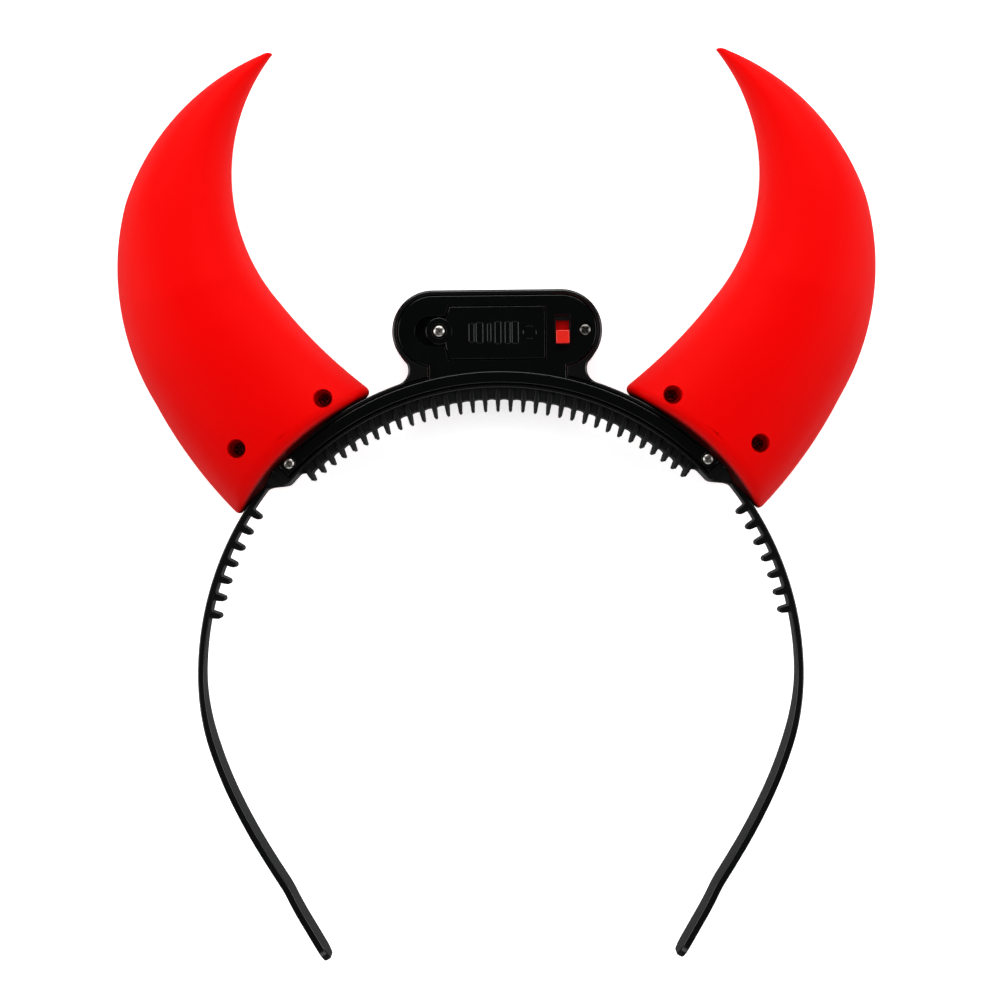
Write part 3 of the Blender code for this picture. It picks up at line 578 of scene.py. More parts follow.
@dataclass(frozen=True)
class HornPlastic(Finish):
    """The horns' satin red plastic, with soft clouding from the moulding, painted shade that darkens it
    towards low Y, and painted shade near the base.
    """

    colour: Colour = (0.84, 0.0, 0.0)
    cloud: Colour = (0.92, 0.0005, 0.0005)
    # Painted shade: the darker red towards low Y, where less light falls.
    low_shade: Colour = (0.60, 0.0, 0.0)
    # Painted shade: the colour at the base, where the horn meets the hoop.
    base: Colour = (0.03, 0.0, 0.0)
    sheen: Colour = (1.0, 0.12, 0.10)
    roughness: float = 0.50
    uneven: float = 0.08
    grain: float = 0.03
    specular: float = 0.30
    low_y: float = -0.005
    high_y: float = 0.045
    base_shade: float = 0.0008
    base_radius: float = 0.0759
    centre_y: float = 0.0
    slot: str = field(default="red_plastic", kw_only=True)

    def sockets(self, nodes: Nodes, coordinates: Link) -> dict[str, object]:
        """Return the Principled sockets' values and links."""
        clouds = nodes.noise(coordinates, 0.030, 2.0)
        grain = nodes.noise(coordinates, 0.0003, 1.0)
        smears = nodes.noise(coordinates, 0.006, 3.0)
        height = nodes.add("ShaderNodeSeparateXYZ", {0: coordinates}, output="Y")
        # Painted shade: rise runs from low Y to high Y, and the darker red (thick) is mixed in towards low Y.
        rise = ((height - self.low_y) / (self.high_y - self.low_y)).clamped()
        body = nodes.tint(clouds, self.colour, self.cloud)
        thick = nodes.tint(clouds, self.low_shade, self.colour)
        whole = nodes.blended(rise, thick, body)
        flat = nodes.add("ShaderNodeVectorMath", {0: coordinates, 1: (1.0, 1.0, 0.0)}, operation="MULTIPLY")
        centre = (0.0, self.centre_y, 0.0)
        reach = nodes.add("ShaderNodeVectorMath", {0: flat, 1: centre}, output="Value", operation="DISTANCE")
        # Painted shade: the red darkens towards the base colour within base_shade of the base radius.
        from_base = ((reach - self.base_radius) / self.base_shade).clamped()
        return {
            "Base Color": nodes.blended(from_base, (*self.base, 1.0), whole),
            "Roughness": (self.roughness + (smears - 0.5) * self.uneven).clamped(),
            "Normal": nodes.bump(grain, self.grain),
            "Specular IOR Level": self.specular,
            "Specular Tint": (*self.sheen, 1.0),
        }


@dataclass(frozen=True)
class ScrewSteel(Finish):
    """Zinc-plated steel with fine turning marks and small dull spots."""

    colour: Colour = (0.66, 0.64, 0.60)
    dull: Colour = (0.30, 0.29, 0.27)
    roughness: float = 0.22
    uneven: float = 0.2
    grain: float = 0.15
    mark_height: float = 0.00005
    slot: str = field(default="screw_steel", kw_only=True)

    def sockets(self, nodes: Nodes, coordinates: Link) -> dict[str, object]:
        """Return the Principled sockets' values and links."""
        spots = nodes.noise(coordinates, 0.0006, 3.0)
        marks = nodes.noise(coordinates, 0.00012, 2.0)
        return {
            "Base Color": nodes.tint(spots, self.dull, self.colour),
            "Metallic": 1.0,
            "Roughness": (self.roughness + spots * self.uneven).clamped(),
            "Normal": nodes.bump(marks, self.grain, self.mark_height),
        }


@dataclass(frozen=True)
class PaleFloor(Finish):
    """The studio's pale table."""

    colour: Colour = (0.90, 0.90, 0.90)
    glow: float = 0.70
    shade: float = 0.985
    roughness: float = 0.95
    specular: float = 0.1

    def sockets(self, nodes: Nodes, coordinates: Link) -> dict[str, object]:
        """Return the Principled sockets' values and links."""
        paper = nodes.noise(coordinates, 0.002, 2.0)
        near = tuple(channel * self.shade for channel in self.colour)
        return {
            "Base Color": nodes.tint(paper, near, self.colour),
            "Roughness": self.roughness,
            "Specular IOR Level": self.specular,
            "Emission Color": (1.0, 1.0, 1.0, 1.0),
            "Emission Strength": self.glow,
        }


SHELL_BLACK = MouldedPlastic("shell_black", (0.0030, 0.0031, 0.0031), (0.0042, 0.0044, 0.0044), 0.20)
# Painted light: a lighter copy of the shell's black for the comb's web and teeth, in their deep gaps.
COMB_LIT_BLACK = MouldedPlastic("comb_black", (0.0055, 0.0062, 0.0060), (0.0075, 0.0083, 0.0080), 0.40,
                            specular=0.40)
COVER_BLACK = MouldedPlastic("cover_black", (0.0010, 0.0012, 0.0012), (0.0018, 0.0021, 0.0021), 0.17)
KNOB_RED = MouldedPlastic("knob_red", (0.88, 0.002, 0.001), (0.95, 0.004, 0.002), 0.35, specular=0.22,
                          slot="knob_red")
# Painted shade: a darker copy of the knob's red for its step, deep in the slot.
KNOB_SHADE = MouldedPlastic("knob_shade", (0.34, 0.0, 0.0), (0.40, 0.0, 0.0), 0.4, specular=0.1,
                            slot="knob_red")
SLIDER_BLACK = MouldedPlastic("slider_black", (0.003, 0.003, 0.003), (0.004, 0.004, 0.004), 0.5)
BRIGHT_STEEL = ScrewSteel("bright_steel")
# Painted shade: a darker copy of the same steel, for the screws deep in the horns' recesses and for the cover
# screw.
SHADED_STEEL = ScrewSteel("dull_steel", (0.22, 0.21, 0.19), (0.07, 0.07, 0.065))
FLOOR = PaleFloor("pale_floor")


def hand_over(thing: Thing, finish: Finish, datum: Datum, *nodes: str, body: str = "headband") -> None:
    """Dress and seat a finished piece, give it its body, and hide the imported nodes that it stands for.

    Args:
        thing: The finished piece, in plan coordinates.
        finish: Its finish, which also names its material.
        datum: Where the hoop stands.
        *nodes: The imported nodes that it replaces.
        body: The body that it rides on.
    """
    if finish.name not in thing.data.materials:
        thing.data.materials.append(finish.material())
    datum.seat(thing)
    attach(thing, body)
    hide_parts(*nodes)
    LOG.info("%s: %d faces on %s", thing.name, len(thing.data.polygons), body)


# Sub-assemblies


@dataclass
class Hoop:
    """The black hoop: hollow-backed crown with the strip's recess, its fall, and both arms."""

    radius: float = 0.0755
    thick: float = 0.0052
    back: float = 0.0070
    front: float = 0.0050
    span: float = 48.2
    fall: float = 4.2
    arm_radius: float = 0.0780
    arm_thick: float = 0.0016
    arm_width: float = 0.0070
    end_thick: float = 0.0018
    end_width: float = 0.0096
    leaves: float = 89.0
    spread: float = 20.0
    end_run: float = 0.0121
    tip_round: float = 0.0040
    rim: float = 0.00085
    inner_rim: float = 0.0007
    seat: float = 0.00485
    strip_span: float = 47.2
    neck_span: float = 13.4
    pad_start: float = 41.0
    pad_full: float = 43.5
    pad_delay: float = 1.2
    edge: float = 0.00028
    edge_share: float = 0.24
    least_flat: float = 0.00003
    neck_proud: float = 0.00004
    lip: float = 0.00016
    sharpness: float = 0.02
    arc_step: float = 0.8
    cap_steps: int = 12
    cap_narrow: float = 0.9
    cap_thin: float = 0.5
    cap_thin_run: float = 0.1
    # Each row is one arc of the arm below the circle: radius, degrees it turns inward.
    arcs: tuple[tuple[float, float], ...] = (
        (0.059, 18.5), (0.106, 8.0), (0.155, 5.7), (0.300, 1.7), (0.030, -7.2), (0.080, 4.7))

    def arm_point(self, angle: float, inside: float = 0.0) -> Vector:
        """Return a plan point on the right arm's round part, at a distance inside its outer face."""
        start = self.span + self.fall
        return polar(start, self.radius - self.arm_radius) + polar(angle, self.arm_radius - inside)

    def stations(self) -> list[tuple[Vector, Vector, float]]:
        """Return the right half's stations: plan point on the outer face, outward direction, angle."""
        jumps = (self.neck_span, self.strip_span)
        angles = sorted({k * 1.0 for k in range(1, int(self.leaves))} | {0.0, self.leaves}
                        | {a + d for a in jumps for d in (-self.sharpness, self.sharpness)}
                        | {self.span + self.fall * k / 10 for k in range(11)})
        fallen = self.span + self.fall
        found = [(polar(a, self.radius) if a < fallen else self.arm_point(a), polar(a, 1.0), a)
                 for a in angles]
        point, turn, turned = self.arm_point(self.leaves), self.leaves, 0.0
        for radius, sweep in self.arcs:
            steps = max(2, round(abs(sweep) / self.arc_step))
            for _ in range(steps):
                bend = sweep / steps
                point = point + polar(turn + bend / 2 + 90, radius * abs(math.radians(bend)))
                turn += bend
                turned += abs(bend)
                found.append((point.copy(), polar(turn, 1.0), self.leaves + turned))
        tip = point + polar(turn + 90, self.end_run)
        found.append((tip, polar(turn, 1.0), self.leaves + turned))
        return found

    def profile(self, angle: float) -> list[tuple[float, float]]:
        """Return the section at an angle as a loop of (distance inside the outer face, height)."""
        fall = (angle - self.span) / self.fall
        spread = blend((angle - self.leaves) / self.spread)
        arm_thick = mix(self.arm_thick, self.end_thick, spread)
        arm_half = mix(self.arm_width, self.end_width, spread) / 2
        thick = mix(self.thick, arm_thick, blend(fall))
        back = mix(self.back, arm_half, blend(fall))
        front = mix(self.front, arm_half, blend(fall))
        open_strip = angle < self.strip_span
        seat = self.seat if open_strip else back
        start = self.pad_start + self.pad_delay
        pad = blend((angle - start) / (self.pad_full - start)) if open_strip else 0.0
        rim_top = self.seat + self.neck_proud if angle < self.neck_span else mix(back, seat, pad)
        corner = min(self.edge, thick * self.edge_share)
        rim = max(self.rim * thick / self.thick, corner + self.least_flat)
        inner = thick - max(self.inner_rim * thick / self.thick, corner + self.least_flat)
        lip = self.lip if open_strip else 0.0
        rim_lip = lip if rim_top > seat + lip else 0.0
        edge = rounding(corner, 3)
        loop = [(x, z - front) for x, z in edge] + [(x, rim_top - z) for x, z in reversed(edge)]
        loop += [(rim - rim_lip, rim_top), (rim, rim_top - rim_lip), (rim, seat)]
        loop += [(inner, seat), (inner, back - lip), (inner + lip, back)]
        loop += [(thick - x, back - z) for x, z in edge] + [(thick - x, z - front) for x, z in reversed(edge)]
        return loop

    def ring(self, point: Vector, outward: Vector, angle: float, narrow: float = 0.0,
             thin: float = 1.0) -> list[tuple[float, float, float]]:
        """Return the section's points at a station, narrowed and thinned where the arm ends."""
        loop = self.profile(angle)
        middle = max(t for t, _ in loop) / 2
        half = max(z for _, z in loop)
        ring = []
        for inside, height in loop:
            place = point - outward * (middle + (inside - middle) * thin)
            ring.append((place.x, place.y, height * (half - narrow) / half))
        return ring

    def rings(self) -> list[list[tuple[float, float, float]]]:
        """Return all the sections from the left tip to the right tip."""
        found = self.stations()
        right = [self.ring(*station) for station in found[:-1]]
        point, outward, angle = found[-1]
        along = Vector((outward.y, -outward.x))
        for left, fallen in rounding(1.0, self.cap_steps):
            narrow = self.tip_round * self.cap_narrow * fallen
            thin = mix(self.cap_thin, 1.0, min(1.0, left / self.cap_thin_run))
            right.append(self.ring(point - along * self.tip_round * left, outward, angle, narrow, thin))
        return [[(-x, y, z) for x, y, z in ring] for ring in reversed(right[1:])] + right

    def build(self, datum: Datum) -> None:
        """Make the hoop."""
        hand_over(shade(Shape().loft(self.rings()).object("shell_hoop")), SHELL_BLACK, datum, SHELL)


@dataclass
class Housing:
    """The battery housing's tray: round-ended box, its neck fillets and the cover's recess."""

    hoop: Hoop
    width: float = 0.0524
    height: float = 0.0204
    rise: float = 0.0090
    front: float = 0.0081
    floor: float = 0.0013
    fillet: float = 0.0037
    rim: float = 0.00115
    ledge: float = 0.00105
    neck_half: float = 0.01705
    edge: float = 0.0006
    foot_depth: float = 0.0012
    recess_depth: float = 0.0030
    strip_span: float = 20.0
    strip_drop: float = 0.00002
    recess_chamfer: float = 0.00018
    strip_chamfer: float = 0.00012
    hollow_clear: float = 0.0006
    end_steps: int = 40
    neck_steps: int = 14
    foot_shares: tuple[float, ...] = (0.97, 0.7, 0.45, 0.2)

    @property
    def middle_y(self) -> float:
        """Return the housing's middle above the hoop's centre."""
        return self.hoop.radius + self.rise

    @property
    def end_x(self) -> float:
        """Return the centre of the right round end."""
        return (self.width - self.height) / 2

    def neck(self) -> Vector:
        """Return the centre of the right neck fillet."""
        near = self.height / 2 + self.fillet
        far = self.hoop.radius + self.fillet
        end = Vector((self.end_x, self.middle_y))
        along = (far * far - near * near + end.length_squared) / (2 * end.length)
        toward = end.normalized()
        return toward * along + Vector((toward.y, -toward.x)) * math.sqrt(far * far - along * along)

    def outline(self, away: float = 0.0) -> Outline:
        """Return the housing's outline, moved inward by a distance and closed inside the crown."""
        end = Vector((self.end_x, self.middle_y))
        neck = self.neck()
        right = arc(end, self.height / 2 - away, 90, heading(neck - end), self.end_steps)
        right += arc(neck, self.fillet + away, heading(end - neck), heading(-neck) % 360, self.neck_steps)[1:]
        spread = math.degrees(math.atan2(neck.x, neck.y))
        foot = self.hoop.radius - self.foot_depth
        right += [polar(spread * share, foot) for share in self.foot_shares]
        return mirrored(right)

    def plate(self, away: float, neck: float, foot: float) -> Outline:
        """Return a plate's outline inside the housing: its ends, its neck and its foot."""
        radius = self.height / 2 - away
        end = Vector((self.end_x, self.middle_y))
        turn = -math.degrees(math.acos((neck - self.end_x) / radius))
        spread = math.degrees(math.asin(neck / foot))
        right = arc(end, radius, 90, turn, self.end_steps)
        right += [polar(spread * share, foot) for share in (1.0, 0.75, 0.5, 0.25)]
        return mirrored(right)

    def build(self, datum: Datum) -> None:
        """Make the tray."""
        hoop = self.hoop
        tray = Shape().slab(self.outline, -self.front, hoop.back, self.edge, self.edge, 5)
        tray = tray.object("shell_housing")
        recess = self.plate(self.rim, self.neck_half + GAP, hoop.radius - self.recess_depth)
        carve(tray, Shape().slab(recess, hoop.seat, hoop.back, over=-self.recess_chamfer))
        strip = ring_outline(hoop.radius - hoop.thick, hoop.radius - hoop.rim, self.strip_span)
        carve(tray, Shape().slab(strip, hoop.seat + self.strip_drop, hoop.back, over=-self.strip_chamfer))
        foot = hoop.radius + self.hollow_clear
        hollow = self.plate(self.rim + self.ledge, self.neck_half - self.ledge, foot)
        carve(tray, Shape().slab(hollow, self.floor - self.front, THROUGH))
        hand_over(shade(tray), SHELL_BLACK, datum, SHELL)


@dataclass
class ToothRow:
    """A row of teeth along an arc, placed by a Geometry Nodes tree.

    Pitch and middle are in degrees. Root is the radius of the roots, and length the share of a tooth's full
    length, each at the row's middle and at its ends.
    """

    name: str
    count: int
    pitch: float
    middle: float
    root: tuple[float, float]
    length: tuple[float, float]
    lean: float
    centre: Vector = field(default_factory=lambda: Vector((0, 0)))

    def scatter(self) -> Scatter:
        """Return the tree that sets teeth along the arc, with its sizes as inputs."""
        floats = ("Pitch", "Middle", "Root at top", "Root at end", "Length at top", "Length at end", "Lean")
        kinds = {"Count": "Int", **dict.fromkeys(floats, "Float"), "Centre": "Vector"}
        scatter = Scatter(self.name + "_row", kinds)
        nodes, given = scatter.nodes, scatter.given
        half = (given["Count"] - 1.0) / 2.0
        step = nodes.add("GeometryNodeInputIndex") - half
        angle = given["Middle"] + step * given["Pitch"]
        share = (step * step) / (half * half)
        ends = ((given[size + " at top"], given[size + " at end"]) for size in ("Root", "Length"))
        radius, length = (top + (end - top) * share for top, end in ends)
        across, along = (nodes.add("ShaderNodeMath", {0: angle}, operation=wave) * radius
                         for wave in ("SINE", "COSINE"))
        place = nodes.add("ShaderNodeCombineXYZ", {0: across, 1: along})
        turn = nodes.add("ShaderNodeCombineXYZ", {2: angle * given["Lean"] * -1.0})
        size = nodes.add("ShaderNodeCombineXYZ", {0: 1.0, 1: length, 2: 1.0})
        line = nodes.add("GeometryNodeMeshLine", {"Count": given["Count"]})
        points = nodes.add("GeometryNodeSetPosition", {"Geometry": line, "Position": place,
                                                       "Offset": given["Centre"]})
        scatter.copy(points, turn, size)
        return scatter

    def row(self, tooth: Thing, finish: Finish) -> Thing:
        """Return the row as a plain mesh.

        Args:
            tooth: One tooth of full length about its root.
            finish: The teeth's finish.

        Returns:
            The row's object.
        """
        return self.scatter().plain(self.name, bpy.data.meshes.new(self.name), {
            "Piece": tooth, "Count": self.count, "Pitch": math.radians(self.pitch),
            "Middle": math.radians(self.middle), "Root at top": self.root[0], "Root at end": self.root[1],
            "Length at top": self.length[0], "Length at end": self.length[1], "Lean": self.lean,
            "Centre": (*self.centre, 0.0), "Finish": finish.material()})


@dataclass
class Comb:
    """The comb inside the crown and the grip teeth inside the arms."""

    hoop: Hoop
    teeth: int = 33
    pitch: float = 2.74
    lean: float = 0.68
    root_depth: tuple[float, float] = (0.0025, 0.0019)
    tip_depth: tuple[float, float] = (0.0056, 0.0038)
    root_width: float = 0.0012
    tip_width: float = 0.00085
    arch: float = 0.0009
    half_depth: float = 0.0045
    edge: float = 0.00018
    # The rib's share of the tooth's width, and its length; then two places, by shares of width and length.
    rib: tuple[float, float] = (0.78, 0.0035)
    neck: tuple[float, float] = (0.96, 0.3)
    waist: tuple[float, float] = (0.8, 0.65)
    root_rise: float = 0.0002
    tip_rise: float = 0.9
    web_back: float = 0.0040
    web_end_turn: float = 1.9
    web_front: float = 0.0042
    web_sunk: float = 0.0003
    web_edge: float = 0.0001
    web_steps: int = 96
    gap_steps: int = 11
    fillet_steps: int = 8
    grip_teeth: int = 7
    grip_start: float = 57.2
    grip_pitch: float = 3.47
    grip_length: float = 0.0028
    grip_width: float = 0.0019
    grip_flare: float = 0.0005
    grip_depth: float = 0.0050
    grip_drop: float = 0.0002
    grip_edge: float = 0.00022
    grip_taper: float = 0.82
    grip_waist: float = 0.4
    grip_sunk: float = 0.0005

    def tooth(self) -> Thing:
        """Return one comb tooth about its root, pointing to -Y, with its rib behind it."""
        length = self.tip_depth[0] - self.root_depth[0]
        half, tip = self.root_width / 2, self.tip_width / 2
        rib, neck, waist = self.rib, self.neck, self.waist
        end = Vector((0, tip * self.tip_rise - length))
        side = [Vector((half * rib[0], rib[1])), Vector((half, self.root_rise)),
                Vector((half * neck[0], -length * neck[1])),
                Vector((mix(half, tip, waist[0]), -length * waist[1])), Vector((tip, end.y))]
        side += arc(end, tip, 0, -90, 6)[1:]
        tooth = Shape().slab(mirrored(side, True), -self.half_depth, self.half_depth, self.edge, self.edge, 3)
        return shade(tooth.object("tooth"))

    def web(self) -> Thing:
        """Return the web between the teeth, with a rounded gap between each two."""
        inner = self.hoop.radius - self.hoop.thick
        middle = (self.teeth - 1) / 2
        angles = [self.pitch * (k - middle) for k in range(self.teeth)]
        last = angles[-1]
        steps = self.fillet_steps
        fillet = [polar(last + self.web_end_turn * step / steps, inner - self.root_depth[1] * left)
                  for step, (left, _) in enumerate(rounding(1.0, steps))]
        lower = [Vector((-p.x, p.y)) for p in reversed(fillet)]
        for here, there in zip(angles, angles[1:]):
            for step in range(self.gap_steps):
                share = (step + 0.5) / self.gap_steps
                angle = mix(here, there, share)
                depth = mix(*self.root_depth, (angle / last) ** 2)
                drop = self.arch * (1 - math.sqrt(1 - (2 * share - 1) ** 2))
                lower.append(polar(angle, inner - depth - drop))
        lower += fillet
        reach = last + self.web_end_turn
        steps = self.web_steps
        upper = [polar(reach - 2 * reach * k / steps, inner + self.web_sunk) for k in range(steps + 1)]
        web = Shape().slab(lower + upper, -self.web_front, self.web_back, self.web_edge, self.web_edge, 2)
        return web.object("shell_comb_web")

    def grip(self) -> Thing:
        """Return one grip tooth about the arm's inner face, pointing to -Y."""
        half = self.grip_width / 2
        flare = arc(Vector((half + self.grip_flare, -self.grip_flare)), self.grip_flare, 90, 180, 4)
        tip = half * self.grip_taper
        side = [Vector((half + self.grip_flare, self.grip_sunk)), *flare,
                Vector((mix(half, tip, self.grip_waist), -self.grip_length / 2))]
        side += arc(Vector((0, tip - self.grip_length)), tip, 0, -90, 8)
        top = self.hoop.arm_width / 2 - self.grip_drop
        edge = self.grip_edge
        grip = Shape().slab(mirrored(side, True), top - self.grip_depth, top, edge, edge, 3)
        return shade(grip.object("grip"))

    def build(self, datum: Datum) -> None:
        """Make the web, the comb's teeth and both rows of grip teeth."""
        hand_over(shade(self.web()), COMB_LIT_BLACK, datum, SHELL)
        inner = self.hoop.radius - self.hoop.thick
        tooth = self.tooth()
        shorter = (self.tip_depth[1] - self.root_depth[1]) / (self.tip_depth[0] - self.root_depth[0])
        roots = (inner - self.root_depth[0], inner - self.root_depth[1])
        comb = ToothRow("shell_comb_teeth", self.teeth, self.pitch, 0.0, roots, (1.0, shorter), self.lean)
        rows = [(comb.row(tooth, COMB_LIT_BLACK), COMB_LIT_BLACK)]
        grip = self.grip()
        face = self.hoop.arm_radius - self.hoop.arm_thick
        centre = self.hoop.arm_point(0.0, self.hoop.arm_radius)
        for hand in Hand:
            middle = self.grip_start + self.grip_pitch * (self.grip_teeth - 1) / 2
            name = "shell_grip_teeth_" + hand.name.lower()
            place = Vector((hand.value * centre.x, centre.y))
            row = ToothRow(name, self.grip_teeth, self.grip_pitch, hand.value * middle, (face, face),
                           (1.0, 1.0), 1.0, place)
            rows.append((row.row(grip, SHELL_BLACK), SHELL_BLACK))
        for thing in (tooth, grip):
            bpy.data.objects.remove(thing)
        for row, finish in rows:
            hand_over(row, finish, datum, SHELL)


@dataclass
class BackCover:
    """The battery cover with the strip along the crown, and the door in it."""

    housing: Housing
    thick: float = 0.00155
    drop: float = 0.0003
    strip_outer: float = 0.00115
    strip_proud: float = 0.0002
    strip_span: float = 47.0
    groove: float = 0.0005
    pad_inset: float = 0.0001
    edge: float = 0.0002
    door_width: float = 0.0237
    door_height: float = 0.0130
    door_drop: float = 0.0005
    slant: float = 0.0010
    tab_radius: float = 0.00335
    tab_reach: float = 0.0145
    notch_radius: float = 0.00375
    notch_reach: float = 0.01675
    slot_width: float = 0.0037
    slot_length: float = 0.0073032
    slot_x: float = 0.0163
    screw_x: float = 0.02195
    counterbore: float = 0.0036
    pad_counterbore: float = 0.0033
    sink: float = 0.0008
    pad_angle: float = 45.2
    pad_screw_inset: float = 0.0019
    foot_depth: float = 0.0025
    strip_under: float = 0.00005
    strip_edge: float = 0.00028
    under: float = 0.002
    chamfer: float = 0.00015
    door_chamfer: float = 0.00012
    bore_chamfer: float = 0.0001
    tab_edge: float = 0.00018
    tab_proud: float = 0.00002
    strip_steps: int = 188
    notch_steps: int = 28
    # Each pair is the lower and the upper face of a pan below an opening.
    notch_pan: tuple[float, float] = (0.0034, 0.0041)
    door_pan: tuple[float, float] = (0.0026, 0.0033)
    notch_pan_grow: float = 0.0009
    door_pan_grow: float = 0.001

    @property
    def top(self) -> float:
        """Return the height of the cover's flat face."""
        return self.housing.hoop.back - self.drop

    @property
    def door_y(self) -> float:
        """Return the door's middle above the hoop's centre."""
        return self.housing.middle_y - self.door_drop

    def door_outline(self, grow: float) -> Outline:
        """Return the door's outline without its tab."""
        half_x = self.door_width / 2 + grow
        half_y = self.door_height / 2 + grow
        link = half_x + self.slant
        points = [(half_x, -half_y), (half_x, half_y), (-half_x, half_y), (-link, half_y / 2),
                  (-link, -half_y / 2), (-half_x, -half_y)]
        return [Vector((x, self.door_y + y)) for x, y in points]

    def notch_outline(self) -> Outline:
        """Return the outline of the round-ended notch around the tab."""
        middle = self.housing.middle_y
        left = arc(Vector((-self.notch_reach, middle)), self.notch_radius, 90, 270, self.notch_steps)
        return left + [Vector((-self.door_width / 2, middle + side * self.notch_radius)) for side in (-1, 1)]

    def pads(self) -> list[Vector]:
        """Return the places of the strip's two screws."""
        place = polar(self.pad_angle, self.housing.hoop.radius - self.pad_screw_inset)
        return [Vector((hand.value * place.x, place.y)) for hand in Hand]

    def cover(self) -> Thing:
        """Return the cover with its strip, openings and screw seats."""
        hoop, housing = self.housing.hoop, self.housing
        bottom = self.top - self.thick

        def outer(angle: float) -> float:
            """Return the strip's outer radius, wider at its two ends."""
            share = blend((abs(angle) - hoop.pad_start) / (hoop.pad_full - hoop.pad_start))
            return hoop.radius - mix(self.strip_outer, self.pad_inset, share)

        plate = housing.plate(housing.rim + GAP, housing.neck_half, hoop.radius - self.foot_depth)
        cover = Shape().slab(plate, bottom, self.top, over=self.edge).object("cover_plate")
        inner = hoop.radius - hoop.thick + hoop.inner_rim + self.groove
        strip = ring_outline(inner, outer, self.strip_span, self.strip_steps)
        top = hoop.back + self.strip_proud
        carve(cover, Shape().slab(strip, bottom - self.strip_under, top, over=self.strip_edge), Carve.JOIN)
        middle = housing.middle_y
        slot = rectangle(Vector((self.slot_x, middle)), self.slot_width, self.slot_length)
        bore = circle(Vector((self.screw_x, middle)), self.counterbore / 2)
        under, seat = hoop.seat - self.under, self.top - self.sink
        cuts = [(self.door_outline(GAP), under, self.top, self.door_chamfer),
                (self.notch_outline(), under, self.top, self.chamfer),
                (slot, -THROUGH, self.top, self.chamfer),
                (bore, seat, self.top, self.bore_chamfer)]
        cuts += [(circle(place, self.pad_counterbore / 2), top - self.sink, top, self.bore_chamfer)
                 for place in self.pads()]
        for outline, low, high, chamfer in cuts:
            carve(cover, Shape().slab(outline, low, high, over=-chamfer))
        return cover

    def floor(self) -> Thing:
        """Return the notch's floor and the door's seat, which close the cover's openings from below."""
        pan = Shape().slab(inset(self.notch_outline(), -self.notch_pan_grow), *self.notch_pan)
        return pan.slab(self.door_outline(self.door_pan_grow), *self.door_pan).object("cover_notch_floor")

    def door(self) -> Thing:
        """Return the door with its screw tab."""
        low = self.housing.hoop.seat + GAP
        door = Shape().slab(self.door_outline(0.0), low, self.top, over=self.chamfer).object("door_panel")
        tab = Vector((-self.tab_reach, self.housing.middle_y))
        ring = Shape().slab(circle(tab, self.tab_radius), low, self.top + self.tab_proud, over=self.tab_edge)
        carve(door, ring, Carve.JOIN)
        bore = circle(tab, self.counterbore / 2)
        return carve(door, Shape().slab(bore, self.top - self.sink, self.top, over=-self.chamfer))

    def build(self, datum: Datum) -> None:
        """Make the cover, the notch's floor and the door."""
        pieces = ((self.cover, "back_cover"), (self.floor, "back_cover"), (self.door, "battery_door"))
        for piece, node in pieces:
            hand_over(shade(piece()), COVER_BLACK, datum, node)


@dataclass
class CellMarks:
    """The raised lines on the door that show how the button cells lie, from the side and from the front."""

    cover: BackCover
    line: float = 0.00016
    proud: float = 0.00007
    foot: float = -0.0001
    shoulder: float = 0.6
    corner: float = 0.0003
    # Each row is one cell: its middle from the door's middle, its width, its height.
    cells: tuple[tuple[float, float, float], ...] = (
        (-0.0064, 0.0014, 0.0048), (-0.0044, 0.0018, 0.0052), (-0.0020, 0.0010, 0.0048),
        (0.0002, 0.0016, 0.0056), (0.0026, 0.0014, 0.0056), (0.0045, 0.0017, 0.0056))
    front_x: float = 0.0081
    front_radius: float = 0.0017

    def build(self, datum: Datum) -> None:
        """Make the lines as thin raised frames."""
        shapes = Shape()
        outlines = [rectangle(Vector((x, self.cover.door_y)), width, height, self.corner, 5)
                    for x, width, height in self.cells]
        outlines.append(circle(Vector((self.front_x, self.cover.door_y)), self.front_radius, 40))
        levels = ((0.0, self.foot), (0.0, self.proud * self.shoulder), (0.25, self.proud), (0.75, self.proud),
                  (1.0, self.proud * self.shoulder), (1.0, self.foot))
        for outline in outlines:
            rings = [[(p.x, p.y, self.cover.top + z) for p in inset(outline, self.line * share)]
                     for share, z in levels]
            shapes.loft(rings + rings[:1], caps=False)
        hand_over(shade(shapes.object("door_cell_marks")), COVER_BLACK, datum, "battery_door")


@dataclass
class SlideSwitch:
    """The red slide knob on its slider, at the lower end of its slot."""

    cover: BackCover
    side: float = 0.0033
    proud: float = 0.0014
    end_gap: float = 0.0002
    plate_width: float = 0.0044
    plate_thick: float = 0.0008
    step_length: float = 0.0027
    step_proud: float = 0.0001
    overlap: float = 0.0001
    corner: float = 0.0002
    plate_corner: float = 0.0003
    # The radii of the upper edges of the knob, its step and its slider.
    edges: tuple[float, float, float] = (0.00022, 0.00008, 0.0001)

    def build(self, datum: Datum) -> None:
        """Make the knob, its step in a darker red that is painted shade in the slot, and its black slider."""
        cover = self.cover
        middle = cover.housing.middle_y
        low_end = middle - cover.slot_length / 2 + self.end_gap
        place = Vector((cover.slot_x, low_end + self.side / 2))
        plate_top = cover.top - cover.thick - GAP
        reach = cover.slot_length - self.end_gap - self.side / 2
        block = rectangle(place, self.side, self.side, self.corner)
        ahead = Vector((0, self.side / 2 + self.step_length / 2 - self.overlap))
        step = rectangle(place + ahead, self.side, self.step_length, self.corner)
        plate = rectangle(place, self.plate_width, 2 * reach, self.plate_corner)
        under = plate_top - self.overlap
        pieces = (("switch_knob_block", block, under, cover.top + self.proud, KNOB_RED),
                  ("switch_knob_step", step, under, plate_top + self.step_proud, KNOB_SHADE),
                  ("switch_slider", plate, plate_top - self.plate_thick, plate_top, SLIDER_BLACK))
        for (name, outline, low, high, finish), edge in zip(pieces, self.edges):
            piece = Shape().slab(outline, low, high, over=edge).object(name)
            hand_over(shade(piece), finish, datum, "switch_knob", body="switch")


